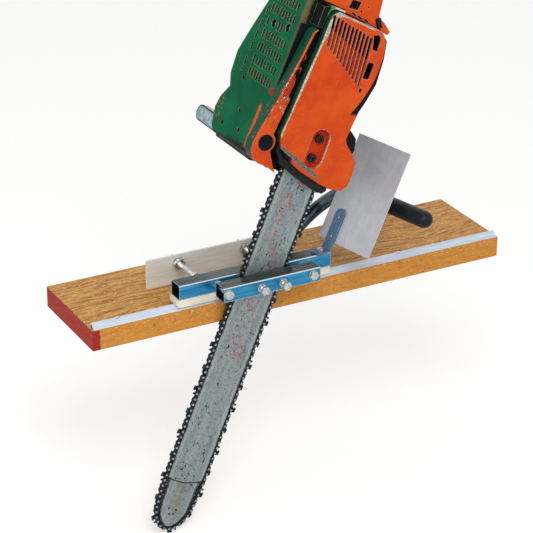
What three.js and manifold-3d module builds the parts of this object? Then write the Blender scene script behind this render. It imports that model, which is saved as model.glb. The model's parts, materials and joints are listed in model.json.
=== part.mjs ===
// Chainsaw mill: a saw clamped in a sliding carriage that runs along a rail on a guide board.
// Millimetres. X runs along the rail, Y away from the operator, Z up.
// The origin is the middle of the guide board's underside.
import * as THREE from 'three';
import { mergeVertices } from 'three/addons/utils/BufferGeometryUtils.js';
import Module from 'manifold-3d';

// General clearances and rounding
const restGap = 0.3; // between a piece and what it rests on inside the tilted saw
const holeClearance = 0.3; // radial, round every bolt and rod
const overrun = 2; // how far a cutting solid runs past the face it cuts
const roundSides = 16; // sides of a small round piece
const drumSides = 28; // sides of a large round piece
const holeSides = 12; // sides of a small hole

// Guide board
const boardLength = 740;
const boardWidth = 176;
const boardThick = 35;
const barFromBoard = 8; // the cutting plane lies this far in front of the board

// Guide rail: an angle laid like a ridge along the board's front edge
const railHalf = 9.2; // half width at the foot, and the ridge's height
const railWall = 2.6; // measured straight down
const railInset = 0.6; // from the board's front edge
const railEndInset = 3;
const railScrewShares = [0.063, 0.745, 0.836]; // places along the board
const railScrewHeadRadius = 3;
const railScrewHeadHigh = 1.4;
const railScrewRadius = 1.9;
const railScrewLong = 26;
const railSeatDeep = 1.5; // flat seat cut into the ridge

// Clamp tubes
const tubeDeep = 28; // along Y
const tubeHigh = 25;
const tubeWall = 2;
const tubeCorner = 3;
const tubeGap = 12; // between the two tubes, where bar and chain pass
const frontTubeLength = 171;
const rearTubeLength = 269;
const rearTubeShift = -8; // of its middle, from the front tube's middle
const tubeLift = 18; // of the tubes' underside over the board
const carriagePlace = -80; // of the front tube's middle along the board

// Slide shoe under the rear tube
const shoeOverhang = 4; // past the rear tube's left end
const shoeInset = 1; // from the tube's front and rear faces
const shoeBottom = 5; // over the board
const shoeReliefHalf = 3.3; // slot over the screw heads, above the groove
const shoeNose = 7; // radius of its lower corners

// Bolts that tie the tubes, screws that clamp the bar
const boltRadius = 4;
const boltAcross = 13; // hexagon, across flats
const boltHeadHigh = 5.3;
const nutHigh = 6.5;
const boltTail = 4;
const washerRadius = 8;
const washerThick = 1.6;
const boltLift = 2; // of the bolts over the tubes' middle
const throughBoltShares = [-0.456, 0.42]; // of the front tube's length, from its middle
const clampScrewShares = [-0.129, 0.094];
const clampScrewReach = 8; // bare thread between lock nut and head
const restPadWide = 16;
const restPadHigh = 14;

// Outrigger: a plate on edge that stands on the board, on two rods behind the rear tube
const plateLength = 230;
const plateHigh = 50;
const plateThick = 4;
const plateFromBar = 98;
const plateShift = -40; // of its middle from the front tube's middle
const rodRadius = 5;
const rodLift = 36; // over the board
const rodSpreadShare = 0.26; // of the plate's length, each side of its middle
const rodTail = 12; // past the rear nut
const rodNutAcross = 17;
const rodNutHigh = 8;
const rodCollarRadius = 9;
const rodCollarLong = 4;
const rodInTube = 12; // length inside the rear tube
const plateCorner = 1.7;

// Handle
const handleRadius = 11;
const handleBore = 9;
const handleFootWide = 26;
const handleFootThick = 4;
const handleFootHigh = 23;
const handlePlace = 49; // of the foot along the carriage
const gripRadius = 14;
const gripLength = 118;
const gripTurnDegrees = 14; // from straight out towards the operator, to the right
const gripEnd = [243, -103, 114.5];
const tubeInGrip = 90; // length of tube inside the grip
const handleSides = 14;
const handleSteps = 44; // along its bends
const gripChamfer = 1; // where the grip starts
const gripDomeSteps = 5;
const bendShares = [[0, 0.13, 0.005], [0.05, 0.26, 0.08], [0.16, 0.34, 0.34], [0.29, 0.38, 0.56],
  [0.43, 0.47, 0.73], [0.585, 0.58, 0.84], [0.72, 0.6, 0.92], [0.81, 0.36, 0.98]]; // of its reach each way

// Deflector
const deflectorTurnDegrees = 12.4;
const deflectorLeanDegrees = 28.9;
const deflectorPlace = [124, 15.5]; // of the strip's bend over the carriage
const stripWide = 20;
const stripThick = 3;
const stripFoot = 24; // lying on the rear tube
const stripBoltBack = 13; // from the bend
const stripRise = 70;
const sheetWide = 117;
const sheetHigh = 177;
const sheetThick = 1.5;
const sheetShift = 30; // of its middle towards the operator, from the strip
const sheetStart = 14.5; // from the bend to its lower edge
const stripBoltRadius = 3;
const stripBoltAcross = 10;
const stripBoltHead = 4;
const stripBoltLong = 12;

// The saw leans in the cutting plane
const sawLeanDegrees = 22.7;
const sawFoot = -16.3; // where the bar's middle line meets the board's top plane

// Guide bar. In the saw's own frame Z runs up the bar and X away from the saw's slotted side.
const crankHeight = 332; // of the crankshaft up the bar's line
const barWide = 65;
const barThick = 5;
const barShort = 32; // how far the bar ends below the crankshaft
const barTip = -409;
const noseRound = 46; // length of the rounded tip
const noseTaper = 2.5; // how much the chain's line narrows towards it
const noseInsets = [4.2, 6.2]; // how much narrower the nose piece is, each side, at its top and at its tip
const seamPlace = -323; // where the nose piece meets the bar's edge
const seamSag = 11;
const seamSteps = 14;
const barShoulderShare = 1.7; // of its half width, where its upper end starts to round off
const slotWide = 2.2; // slot in the nose for its sprocket
const noseSprocketRadius = 25;
const noseSprocketThick = 1.6;
const noseSprocketTeeth = 9;
const noseSprocketBack = 33; // of its middle from the tip
const nosePinRadius = 6;
const noseSprocketClear = 1;
const toothDeep = 4;

// Chain
const chainWide = 7;
const chainHigh = 12;
const chainPitch = 18.6;
const chainGullet = 4; // how far the outline drops between the cutters
const chainClear = 0.4;
const turnSteps = 9; // points round each end of its line
const sideSteps = 12; // points along each side
const noseShoulderShare = 1.35; // of the nose's length from the tip, where it reaches full width
const straightShares = [1.8, 0.8]; // of the nose's length, from the tip and from the top

// Clutch drum, crank and cylinder
const sprocketRadius = 21;
const sprocketTeeth = 7;
const drumRadius = 36;
const drumFace = 19.5; // in front of the bar
const drumBack = 6.5;
const drumWall = 3;
const sprocketBack = 3; // behind the bar's middle
const shaftRadius = 7;
const shaftEnd = 104;
const webRadius = 29;
const webThick = 9;
const webGap = 11;
const webClear = 1.5;
const crankThrow = 16;
const crankPinRadius = 6;
const rodLong = 54;
const rodThick = 10;
const rodWall = 4;
const wristPinRadius = 5;
const pistonRadius = 23;
const pistonSkirt = 14; // from the wrist pin to the open end
const pistonLong = 34;
const pistonWall = 3.5;
const cylinderWall = 4;
const cylinderLong = 50;
const cylinderStart = 34.3; // from the crank's middle
const finReach = 5.5;
const finThick = 3;
const finCount = 6;
const engineDepth = 44; // of the cylinder's middle behind the bar

// Crankcase
const caseFace = 5.5; // behind the bar's middle
const flangeThick = 2.2;
const caseDeep = 78;
const caseRight = 62;
const caseLeft = -62;
const casePort = -24; // side wall beside the muffler
const caseBottom = -124;
const caseTop = 158;
const caseShoulderShares = [[1, 0.83], [0.84, 0.9], [0.66, 1]]; // shares of its width and height
const cylinderRoom = 40; // half the space left for the cylinder
const crankRoom = 32;

// Flange plate that carries the clutch side, the rim beside the cover and the bumper lug
const flangeSpan = [-96, 158];
const flangeRise = [-126, 284];
const flangeLineShares = [[0, 0.07], [0.038, 0.035], [0.228, 0], [1, 0], [1, 0.824], [0.886, 0.901],
  [0.734, 1], [0.215, 1], [0.215, 0.813], [0.025, 0.813]];
const rimSpan = [40, 28];
const rimRise = [-12, 142];
const rimLineShares = [[0, 1], [0.429, 0.93], [0.668, 0.894], [0.839, 0.761], [1, 0.507],
  [0.857, 0.282], [0.643, 0.092], [0.357, 0], [0.357, 0.176], [0.571, 0.423], [0.464, 0.739],
  [0.143, 0.915]];
const rimFace = 10; // in front of the bar
const lugSpan = [56, 31];
const lugRise = [-76, 44];
const lugLineShares = [[0, 1], [0.452, 0.818], [0.839, 0.614], [1, 0.182], [0.903, 0], [0, 0]];
const lugDeep = 8;

// Bar studs and the pad the bar is clamped on
const barPadHalf = 17;
const studRadius = 4;
const studTail = 1; // past its nut
const studPlaces = [[0, -90], [1, -58]]; // from the crankshaft
const barSlotHalf = 4.6;
const barSlotFlat = 1; // between its rounded corners
const barSlotReach = 12; // past the studs

// Clutch cover
const coverFace = 24; // its outer face in front of the bar
const coverBack = 5;
const coverWall = 3;
const coverEdge = 2.5;
const coverSpan = [-74, 153]; // left edge and width
const coverRise = [-131, 271]; // foot and length
const coverLineShares = [[0.15, 1], [0.595, 0.967], [0.752, 0.945], [0.817, 0.893], [0.856, 0.808],
  [0.876, 0.657], [0.83, 0.542], [0.797, 0.483], [0.778, 0.384], [0.771, 0.306], [0.804, 0.28],
  [0.895, 0.24], [0.987, 0.188], [1, 0.114], [0.993, 0.041], [0.941, 0.007], [0.804, 0],
  [0.634, 0.018], [0.373, 0.063], [0.144, 0.122], [0.046, 0.173], [0, 0.247], [0.02, 0.369],
  [0.039, 0.583], [0.072, 0.797], [0.078, 0.934], [0.105, 0.982]];
const coverFloor = 12; // bottom of its nut pocket, in front of the bar
const pocketX = [-18, 14];
const pocketZ = [-104, -41];
const pocketCorner = 14;
const louvreCount = 11;
const louvreWide = 5.6;
const louvreTop = [[-57, 134], [20, 117]]; // upper ends of the first and last
const louvreFoot = [[-51, 84], [29, 35]];
const openingSpan = [21, 18];
const openingRise = [97, 26];
const openingLineShares = [[0.333, 0.077], [0, 0.885], [0.556, 1], [0.944, 0.769], [1, 0]];
const squareOpeningX = [30, 42.5];
const squareOpeningZ = [51.5, 78.5];
const squareOpeningCorner = 3;
const smallOpeningPlace = [35, 32.5];
const smallOpeningRadius = 3.4;

// Black guard strip under the cover
const guardFace = 18;
const guardSpan = [-72, 118];
const guardRise = [-142, 100];
const guardLineShares = [[0.008, 0.78], [0.025, 0.5], [0.169, 0.31], [0.466, 0.16], [0.78, 0.03],
  [0.949, 0], [1, 0.06], [1, 0.5], [0.102, 1], [0, 0.95]];

// Orange side housing with the oil filler
const housingFace = 16;
const housingSpan = [-112, 58];
const housingRise = [-127, 232];
const housingLineShares = [[0, 0.168], [0.086, 0.297], [0.241, 0.453], [0.379, 0.625], [0.5, 0.806],
  [0.586, 0.97], [0.69, 1], [0.759, 0.97], [0.707, 0.707], [0.586, 0.44], [0.534, 0.319],
  [0.517, 0.246], [0.603, 0.134], [0.828, 0.047], [1, 0], [0.707, 0.03], [0.379, 0.039],
  [0.155, 0.069], [0.017, 0.116]];
const grooveFoot = -8; // above it the strip is a gutter with one raised edge
const grooveDeep = 7;
const grooveRim = 3;
const fillerPlace = [-92, -83];
const fillerRadius = 17;
const capRadius = 12.5;
const fillerRise = 2; // of the filler's ring over the housing
const capReach = 2; // past the filler's ring
const capRibShare = 0.77; // of its radius
const capRibHalf = 2;
const capSink = 6;

// Green engine shroud over the cylinder
const shroudTop = 92; // of its slotted face, to the left of the bar's line
const shroudFoot = 66.5;
const shroudWall = 2.5;
const shroudEdge = 6;
const shroudSpan = [8, 148]; // near edge behind the bar, and depth
const shroudRise = [-120, 262];
const shroudLineShares = [[0, 0.008], [0, 1], [0.351, 1], [0.649, 0.985], [0.73, 0.87], [0.872, 0.66],
  [0.959, 0.515], [0.939, 0.37], [0.865, 0.305], [0.966, 0.225], [1, 0.145], [0.939, 0.031],
  [0.858, 0]];
const frameFace = 14; // of its flange beside the clutch cover, in front of the bar
const frameSpan = [-75, 39];
const frameRise = [108, 37];
const frameLineShares = [[0, 0], [0.231, 0], [0.256, 0.432], [0.359, 0.784], [0.538, 0.905],
  [1, 0.851], [1, 0.932], [0.333, 1], [0, 0.865]];
const slotRows = 7;
const slotsPerRow = 9;
const ventWide = 4.6;
const ventLong = 14;
const ventPitch = 8.3;
const rowPitch = 21;
const firstRow = -3;
const firstVent = 25;
const farVentPlaces = [[103, 95], [107, 72], [109, 53], [110, 33], [112, 8]];
const smallHolePlaces = [[104, -17], [116, -6], [82, -64], [117, -97], [66, -92]];
const smallHoleRadii = [4, 2.6, 3.4, 4, 4];
const screwHolePlaces = [[35, 87], [76, 82]];
const screwHoleRadius = 6.5;

// Muffler and its outlet
const mufflerY = [18, 128];
const mufflerX = [-88, -30];
const mufflerZ = [-123.5, -62];
const portHalf = 12; // half width of its neck to the cylinder
const mufflerEdge = 3;
const mufflerWall = 1.6;
const mufflerClear = 1; // inside the shroud
const outletX = [-88.5, -76];
const outletY = [125, 204];
const outletZ = [-119, -93];
const outletCorner = 12.5;
const outletMouth = 26; // length of the slot in its lower side

// Starter side
const starterRadius = 61;
const starterEnd = 124;
const starterWall = 3;
const starterSlots = 12;
const starterSlotHalf = 2;
const flywheelRadius = 50;
const flywheelY = [82, 88];
const bladeCount = 12;
const bladeHigh = 12;
const bladeThick = 3;
const pullPlace = [-20, 100];
const pullSink = 0.8; // of the grip's seat below the housing's crown
const pullLong = 30;
const pullRadius = 8;
const pullStub = 10;
const pullStubRadius = 2;

// Rear handle with its throttle levers
const leverGap = 0.6;
const rearY = [15, 45];
const rearX = [-42, 42];
const rearZ = [160, 323];
const loopWall = 22;
const loopCorner = 20;
const rearBlockSpan = [-86, 144];
const rearBlockRise = [124, 66];
const rearBlockLineShares = [[0, 0.394], [0.243, 0.318], [0.354, 0.303], [0.361, 0.226], [0.715, 0.121],
  [0.882, 0.045], [0.979, 0], [1, 0.091], [0.903, 0.242], [0.792, 0.364], [0.771, 0.667], [0.75, 1],
  [0.181, 1], [0.014, 0.758]];
const rearHoleStart = 192;
const rearBlockY = [-12, 68];
const rearSlotStarts = [[-22.9, 143], [-10.6, 140.2], [3.3, 138.2]]; // slots in the block's front
const rearSlotEnds = [[-14.2, 139.3], [-1.6, 137.1], [11.7, 134.9]];
const rearSlotHalf = 1.5;
const rearHolePlaces = [[2.9, 157.7], [-7.4, 148.4]];
const rearHoleRadius = 1.7;
const rearCutDeep = 7;
const rearRecessX = [[-32, -15], [-30, -12.5]]; // black recess beside the block, at its foot and top
const rearRecessZ = [148.5, 162];
const leverWide = 10;
const leverSlot = 11.2;
const triggerZ = [204, 248];
const triggerDeep = 12;
const triggerSink = 3;
const triggerTravel = 7;
const lockoutZ = [208, 258];
const lockoutRise = 5;
const lockoutSink = 4;
const lockoutTravel = 4;
const fuelCapPlace = [-32, 170];
const fuelCapRadius = 15;
const fuelCapHigh = 8;

// Places worked out from the sizes above
const boardFront = -boardWidth / 2;
const barPlane = boardFront - barFromBoard;
const tubeMiddle = tubeLift + tubeHigh / 2;
const boltHeight = tubeMiddle + boltLift;
const barTop = crankHeight - barShort;
const sawReach = 2 * crankHeight; // longer than the saw's body
const frontTubeFace = -(tubeGap / 2 + tubeDeep);
const rearTubeBack = tubeGap / 2 + tubeDeep;
const rearTubeLeft = rearTubeShift - rearTubeLength / 2;

const wasm = await Module();
wasm.setup();

// Solids from geometry and back
function solid(geometry) {
  const bare = geometry.clone();
  bare.deleteAttribute('normal');
  bare.deleteAttribute('uv');
  const merged = mergeVertices(bare, 1e-4);
  const mesh = new wasm.Mesh({
    numProp: 3,
    vertProperties: new Float32Array(merged.attributes.position.array),
    triVerts: new Uint32Array(merged.index.array),
  });
  return new wasm.Manifold(mesh);
}

function surface(manifold) {
  const mesh = manifold.getMesh();
  const geometry = new THREE.BufferGeometry();
  geometry.setAttribute('position', new THREE.BufferAttribute(new Float32Array(mesh.vertProperties), 3));
  geometry.setIndex(new THREE.BufferAttribute(new Uint32Array(mesh.triVerts), 1));
  geometry.computeVertexNormals();
  return geometry;
}

function cut(body, ...tools) {
  return surface(tools.reduce((rest, tool) => rest.subtract(solid(tool)), solid(body)));
}

function join(first, ...others) {
  return surface(others.reduce((sum, other) => sum.add(solid(other)), solid(first)));
}

// Basic shapes, each given by its limits or its axis
function block([x0, x1], [y0, y1], [z0, z1]) {
  const box = new THREE.BoxGeometry(x1 - x0, y1 - y0, z1 - z0);
  return box.translate((x0 + x1) / 2, (y0 + y1) / 2, (z0 + z1) / 2);
}

// A round bar along Y from y0 to y1
function barY(radius, x, z, y0, y1, sides = roundSides) {
  const round = new THREE.CylinderGeometry(radius, radius, y1 - y0, sides);
  return round.translate(x, (y0 + y1) / 2, z);
}

function barZ(radius, x, y, z0, z1, sides = roundSides) {
  const round = new THREE.CylinderGeometry(radius, radius, z1 - z0, sides);
  return round.rotateX(Math.PI / 2).translate(x, y, (z0 + z1) / 2);
}

function barX(radius, y, z, x0, x1, sides = roundSides) {
  const round = new THREE.CylinderGeometry(radius, radius, x1 - x0, sides);
  return round.rotateZ(Math.PI / 2).translate((x0 + x1) / 2, y, z);
}

function hexY(across, x, z, y0, y1) {
  const hex = new THREE.CylinderGeometry(across / Math.sqrt(3), across / Math.sqrt(3), y1 - y0, 6);
  return hex.rotateY(Math.PI / 6).translate(x, (y0 + y1) / 2, z);
}

function hexZ(across, x, y, z0, z1) {
  const hex = new THREE.CylinderGeometry(across / Math.sqrt(3), across / Math.sqrt(3), z1 - z0, 6);
  return hex.rotateX(Math.PI / 2).translate(x, y, (z0 + z1) / 2);
}

function outline(points) {
  return new THREE.Shape(points.map(([x, y]) => new THREE.Vector2(x, y)));
}

// An outline drawn in X and Z, with its thickness from y0 to y1
function slabXZ(shape, y0, y1, curveSegments = 4) {
  const flat = new THREE.ExtrudeGeometry(shape, { depth: y1 - y0, bevelEnabled: false, curveSegments });
  return flat.rotateX(Math.PI / 2).translate(0, y1, 0);
}

// The same with rounded outer edges
function roundedSlabXZ(shape, y0, y1, edge, curveSegments = 4) {
  const flat = new THREE.ExtrudeGeometry(shape, {
    depth: y1 - y0 - 2 * edge, bevelEnabled: true, bevelThickness: edge,
    bevelSize: edge, bevelOffset: -edge, bevelSegments: 2, curveSegments,
  });
  return flat.rotateX(Math.PI / 2).translate(0, y1 - edge, 0);
}

// An outline drawn in Y and Z, extruded along X
function slabYZ(shape, x0, x1, curveSegments = 3) {
  const flat = new THREE.ExtrudeGeometry(shape, { depth: x1 - x0, bevelEnabled: false, curveSegments });
  return flat.rotateX(Math.PI / 2).rotateZ(Math.PI / 2).translate(x0, 0, 0);
}

function roundedRectangle(x0, x1, y0, y1, r) {
  const shape = new THREE.Shape();
  shape.moveTo(x0 + r, y0);
  shape.lineTo(x1 - r, y0);
  shape.absarc(x1 - r, y0 + r, r, -Math.PI / 2, 0);
  shape.lineTo(x1, y1 - r);
  shape.absarc(x1 - r, y1 - r, r, 0, Math.PI / 2);
  shape.lineTo(x0 + r, y1);
  shape.absarc(x0 + r, y1 - r, r, Math.PI / 2, Math.PI);
  shape.lineTo(x0, y0 + r);
  shape.absarc(x0 + r, y0 + r, r, Math.PI, 1.5 * Math.PI);
  return shape;
}

// Materials and placing
function finish(color, roughness, metalness = 0) {
  return new THREE.MeshStandardMaterial({ color, roughness, metalness });
}

const zinc = finish(0xaab4bd, 0.38, 0.9);
const brightSteel = finish(0xd5d8da, 0.25, 1);
const aluminium = finish(0xb9b6ae, 0.45, 0.9);
const railMetal = finish(0xc9d3e0, 0.4, 0.8);
const nylon = finish(0xe4dfd0, 0.55);
const rubber = finish(0x17191a, 0.75);
const boardWood = finish(0xd08a2e, 0.6);
const orangePaint = finish(0xd84b1c, 0.4);
const greenPaint = finish(0x0a7a4a, 0.4);
const barSteel = finish(0x8b9796, 0.4, 0.8);
const chainSteel = finish(0x23282a, 0.45, 0.7);
const castMetal = finish(0x8d9193, 0.6, 0.7);
const exhaustMetal = finish(0x3d3230, 0.7, 0.4);

const mill = new THREE.Group();
const carriage = new THREE.Group();
carriage.position.set(carriagePlace, barPlane, boardThick);
mill.add(carriage);

function place(parent, name, geometry, material) {
  const mesh = new THREE.Mesh(geometry, material);
  mesh.name = name;
  parent.add(mesh);
  return mesh;
}

// Guide board, rail and the screws that hold the rail
function makeBoard() {
  const halfLong = boardLength / 2;
  const railY = boardFront + railInset + railHalf;
  const screwPlaces = railScrewShares.map((share) => -halfLong + share * boardLength);
  const seat = boardThick + railHalf - railSeatDeep;
  const ridge = outline([[-railHalf, 0], [0, railHalf], [railHalf, 0],
    [railHalf - railWall, 0], [0, railHalf - railWall], [-railHalf + railWall, 0]].reverse());
  const boardHoles = screwPlaces.map((x) => barZ(railScrewRadius + holeClearance, x, railY,
    seat - railScrewLong - overrun, boardThick + overrun));
  const railHoles = screwPlaces.flatMap((x) => [
    barZ(railScrewRadius + holeClearance, x, railY, boardThick, seat + overrun),
    barZ(railScrewHeadRadius + holeClearance, x, railY, seat, seat + railHalf)]);
  place(mill, 'guide_board', cut(block([-halfLong, halfLong], [-boardWidth / 2, boardWidth / 2],
    [0, boardThick]), ...boardHoles), boardWood);
  const railBody = slabYZ(ridge, -halfLong + railEndInset, halfLong - railEndInset)
    .translate(0, railY, boardThick);
  place(mill, 'guide_rail', cut(railBody, ...railHoles), railMetal);
  screwPlaces.forEach((x, index) => {
    const head = barZ(railScrewHeadRadius, x, railY, seat, seat + railScrewHeadHigh);
    const shank = barZ(railScrewRadius, x, railY, seat - railScrewLong, seat + railScrewHeadHigh / 2);
    place(mill, `rail_screw_${index + 1}`, join(head, shank), brightSteel);
  });
}

// A hollow square tube along X
function tubeBody(x0, x1, y0, y1) {
  const shape = roundedRectangle(y0, y1, tubeLift, tubeLift + tubeHigh, tubeCorner);
  const inner = roundedRectangle(y0 + tubeWall, y1 - tubeWall, tubeLift + tubeWall,
    tubeLift + tubeHigh - tubeWall, tubeCorner - tubeWall);
  shape.holes.push(new THREE.Path(inner.getPoints(2)));
  return slabYZ(shape, x0, x1, 2);
}

const throughBoltPlaces = throughBoltShares.map((share) => share * frontTubeLength);
const clampScrewPlaces = clampScrewShares.map((share) => share * frontTubeLength);
const rodPlaces = [-1, 1].map((side) => plateShift + side * rodSpreadShare * plateLength);
const stripTurn = THREE.MathUtils.degToRad(deflectorTurnDegrees);
const stripBoltPlace = [deflectorPlace[0] - stripBoltBack * Math.cos(stripTurn),
  deflectorPlace[1] - stripBoltBack * Math.sin(stripTurn)];
const sides = ['left', 'right'];

function makeTubes() {
  const hole = boltRadius + holeClearance;
  const frontEnds = [-frontTubeLength / 2, frontTubeLength / 2];
  const frontHoles = [...throughBoltPlaces, ...clampScrewPlaces].map((x) => barY(hole, x, boltHeight,
    frontTubeFace - overrun, -tubeGap / 2 + overrun));
  place(carriage, 'front_tube', cut(tubeBody(...frontEnds, frontTubeFace, -tubeGap / 2),
    ...frontHoles), zinc);
  const rearHoles = throughBoltPlaces.map((x) => barY(hole, x, boltHeight,
    tubeGap / 2 - overrun, rearTubeBack + overrun));
  const rodHoles = rodPlaces.map((x) => barY(rodRadius + holeClearance, x, rodLift,
    rearTubeBack - tubeWall - overrun, rearTubeBack + overrun));
  const stripHole = barZ(stripBoltRadius + holeClearance, ...stripBoltPlace,
    tubeLift + tubeHigh - tubeWall - overrun, tubeLift + tubeHigh + overrun);
  place(carriage, 'rear_tube', cut(tubeBody(rearTubeLeft, rearTubeLeft + rearTubeLength,
    tubeGap / 2, rearTubeBack), ...rearHoles, ...rodHoles, stripHole), zinc);
}

function makeShoe() {
  const y0 = tubeGap / 2 + shoeInset;
  const y1 = rearTubeBack - shoeInset;
  const railY = barFromBoard + railInset + railHalf;
  const half = railHalf - shoeBottom + restGap * Math.SQRT2;
  const shoulder = shoeBottom + half - shoeReliefHalf;
  const section = outline([[y0, shoeBottom], [railY - half, shoeBottom], [railY - shoeReliefHalf, shoulder],
    [railY - shoeReliefHalf, shoeBottom + half], [railY + shoeReliefHalf, shoeBottom + half],
    [railY + shoeReliefHalf, shoulder], [railY + half, shoeBottom], [y1, shoeBottom], [y1, tubeLift],
    [y0, tubeLift]]);
  const x0 = rearTubeLeft - shoeOverhang;
  const x1 = rearTubeLeft + rearTubeLength;
  const side = new THREE.Shape();
  side.moveTo(x0, tubeLift + overrun);
  side.lineTo(x0, shoeBottom + shoeNose);
  side.quadraticCurveTo(x0, shoeBottom, x0 + shoeNose, shoeBottom);
  side.lineTo(x1 - shoeNose, shoeBottom);
  side.quadraticCurveTo(x1, shoeBottom, x1, shoeBottom + shoeNose);
  side.lineTo(x1, tubeLift + overrun);
  const body = solid(slabYZ(section, x0 - overrun, x1 + overrun));
  const trimmed = body.intersect(solid(slabXZ(side, y0 - overrun, y1 + overrun, 5)));
  place(carriage, 'slide_shoe', surface(trimmed), nylon);
}

function makeBolts() {
  const head = frontTubeFace - washerThick;
  throughBoltPlaces.forEach((x, index) => {
    const side = sides[index];
    const tail = rearTubeBack + nutHigh + boltTail;
    place(carriage, `through_bolt_${side}`, join(hexY(boltAcross, x, boltHeight, head - boltHeadHigh, head),
      barY(boltRadius, x, boltHeight, head - boltHeadHigh / 2, tail)), brightSteel);
    const bore = (y0, y1) => barY(boltRadius + holeClearance, x, boltHeight, y0 - overrun, y1 + overrun);
    place(carriage, `bolt_washer_${side}`, cut(barY(washerRadius, x, boltHeight, head, frontTubeFace),
      bore(head, frontTubeFace)), brightSteel);
    place(carriage, `spacer_nut_${side}`, cut(hexY(boltAcross, x, boltHeight, -tubeGap / 2, tubeGap / 2),
      bore(-tubeGap / 2, tubeGap / 2)), brightSteel);
    place(carriage, `bolt_nut_${side}`, cut(hexY(boltAcross, x, boltHeight, rearTubeBack,
      rearTubeBack + nutHigh), bore(rearTubeBack, rearTubeBack + nutHigh)), brightSteel);
  });
  clampScrewPlaces.forEach((x, index) => {
    const side = sides[index];
    const nutFace = frontTubeFace - nutHigh;
    const headBack = nutFace - clampScrewReach;
    place(carriage, `clamp_screw_${side}`, join(hexY(boltAcross, x, boltHeight, headBack - boltHeadHigh,
      headBack), barY(boltRadius, x, boltHeight, headBack - boltHeadHigh / 2,
      -barThick / 2 - restGap)), brightSteel);
    place(carriage, `lock_nut_${side}`, cut(hexY(boltAcross, x, boltHeight, nutFace, frontTubeFace),
      barY(boltRadius + holeClearance, x, boltHeight, nutFace - overrun, frontTubeFace + overrun)),
    brightSteel);
    place(carriage, `rest_pad_${side}`, block([x - restPadWide / 2, x + restPadWide / 2],
      [barThick / 2 + restGap, tubeGap / 2], [boltHeight - restPadHigh / 2, boltHeight + restPadHigh / 2]),
      castMetal);
  });
}

function makeOutrigger() {
  const front = plateFromBar;
  const back = plateFromBar + plateThick;
  const bore = (x, y0, y1) => barY(rodRadius + holeClearance, x, rodLift, y0 - overrun, y1 + overrun);
  const body = slabXZ(roundedRectangle(plateShift - plateLength / 2, plateShift + plateLength / 2,
    restGap, plateHigh, plateCorner), front, back, 3);
  place(carriage, 'outrigger_plate', cut(body, ...rodPlaces.map((x) => bore(x, front, back))), aluminium);
  rodPlaces.forEach((x, index) => {
    const side = sides[index];
    const stud = barY(rodRadius, x, rodLift, rearTubeBack - rodInTube, back + rodNutHigh + rodTail);
    const collar = barY(rodCollarRadius, x, rodLift, rearTubeBack, rearTubeBack + rodCollarLong);
    place(carriage, `outrigger_rod_${side}`, join(stud, collar), brightSteel);
    place(carriage, `plate_nut_front_${side}`, cut(hexY(rodNutAcross, x, rodLift, front - rodNutHigh, front),
      bore(x, front - rodNutHigh, front)), brightSteel);
    place(carriage, `plate_nut_back_${side}`, cut(hexY(rodNutAcross, x, rodLift, back, back + rodNutHigh),
      bore(x, back, back + rodNutHigh)), brightSteel);
  });
}

// Handle: a tube bent up and round towards the operator, with a rubber grip
function makeHandle() {
  const footBack = rearTubeBack + handleFootThick;
  const foot = block([handlePlace - handleFootWide / 2, handlePlace + handleFootWide / 2],
    [rearTubeBack, footBack], [tubeMiddle - handleFootHigh / 2, tubeMiddle + handleFootHigh / 2]);
  const turn = THREE.MathUtils.degToRad(gripTurnDegrees);
  const along = new THREE.Vector3(Math.sin(turn), -Math.cos(turn), 0);
  const tip = new THREE.Vector3(...gripEnd);
  const gripStart = tip.clone().addScaledVector(along, -gripLength);
  const tubeEnd = gripStart.clone().addScaledVector(along, tubeInGrip);
  const bend = tip.x - handlePlace;
  const rise = tip.z - tubeMiddle;
  const back = plateFromBar - rearTubeBack;
  const route = [new THREE.Vector3(handlePlace, footBack, tubeMiddle)];
  bendShares.forEach(([x, y, z]) => route.push(new THREE.Vector3(handlePlace + x * bend,
    footBack + y * back, tubeMiddle + z * rise)));
  route.push(gripStart.clone().addScaledVector(along, -gripRadius), gripStart,
    gripStart.clone().lerp(tubeEnd, 0.5), tubeEnd);
  const ring = new THREE.Shape();
  ring.absarc(0, 0, handleRadius, 0, 2 * Math.PI);
  const bore = new THREE.Path();
  bore.absarc(0, 0, handleBore, 0, 2 * Math.PI, true);
  ring.holes.push(bore);
  const path = new THREE.CatmullRomCurve3(route, false, 'centripetal');
  const tube = new THREE.ExtrudeGeometry(ring, { steps: handleSteps, extrudePath: path,
    bevelEnabled: false, curveSegments: handleSides / 2 });
  const trimmed = solid(tube).subtract(solid(block([handlePlace - 4 * handleRadius,
    handlePlace + 4 * handleRadius], [rearTubeBack - handleRadius, footBack - handleFootThick / 2],
    [tubeLift - handleRadius, tubeLift + tubeHigh + handleRadius]))).add(solid(foot));
  place(carriage, 'handle_tube', surface(trimmed), zinc);
  const sleeve = handleRadius + holeClearance;
  const profile = [[sleeve, 0], [gripRadius - gripChamfer, 0], [gripRadius, gripChamfer]];
  for (let step = 0; step <= gripDomeSteps; step += 1) {
    const angle = (step / gripDomeSteps) * (Math.PI / 2);
    profile.push([gripRadius * Math.cos(angle), gripLength - gripRadius + gripRadius * Math.sin(angle)]);
  }
  profile.push([0, tubeInGrip + restGap], [sleeve, tubeInGrip + restGap], [sleeve, 0]);
  const points = profile.map(([r, h]) => new THREE.Vector2(Math.max(r, 0), h));
  points[points.length - 4].x = 0;
  const grip = new THREE.LatheGeometry(points, 2 * handleSides);
  grip.applyQuaternion(new THREE.Quaternion().setFromUnitVectors(new THREE.Vector3(0, 1, 0), along));
  grip.translate(gripStart.x, gripStart.y, gripStart.z);
  place(carriage, 'handle_grip', grip, rubber);
}

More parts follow.
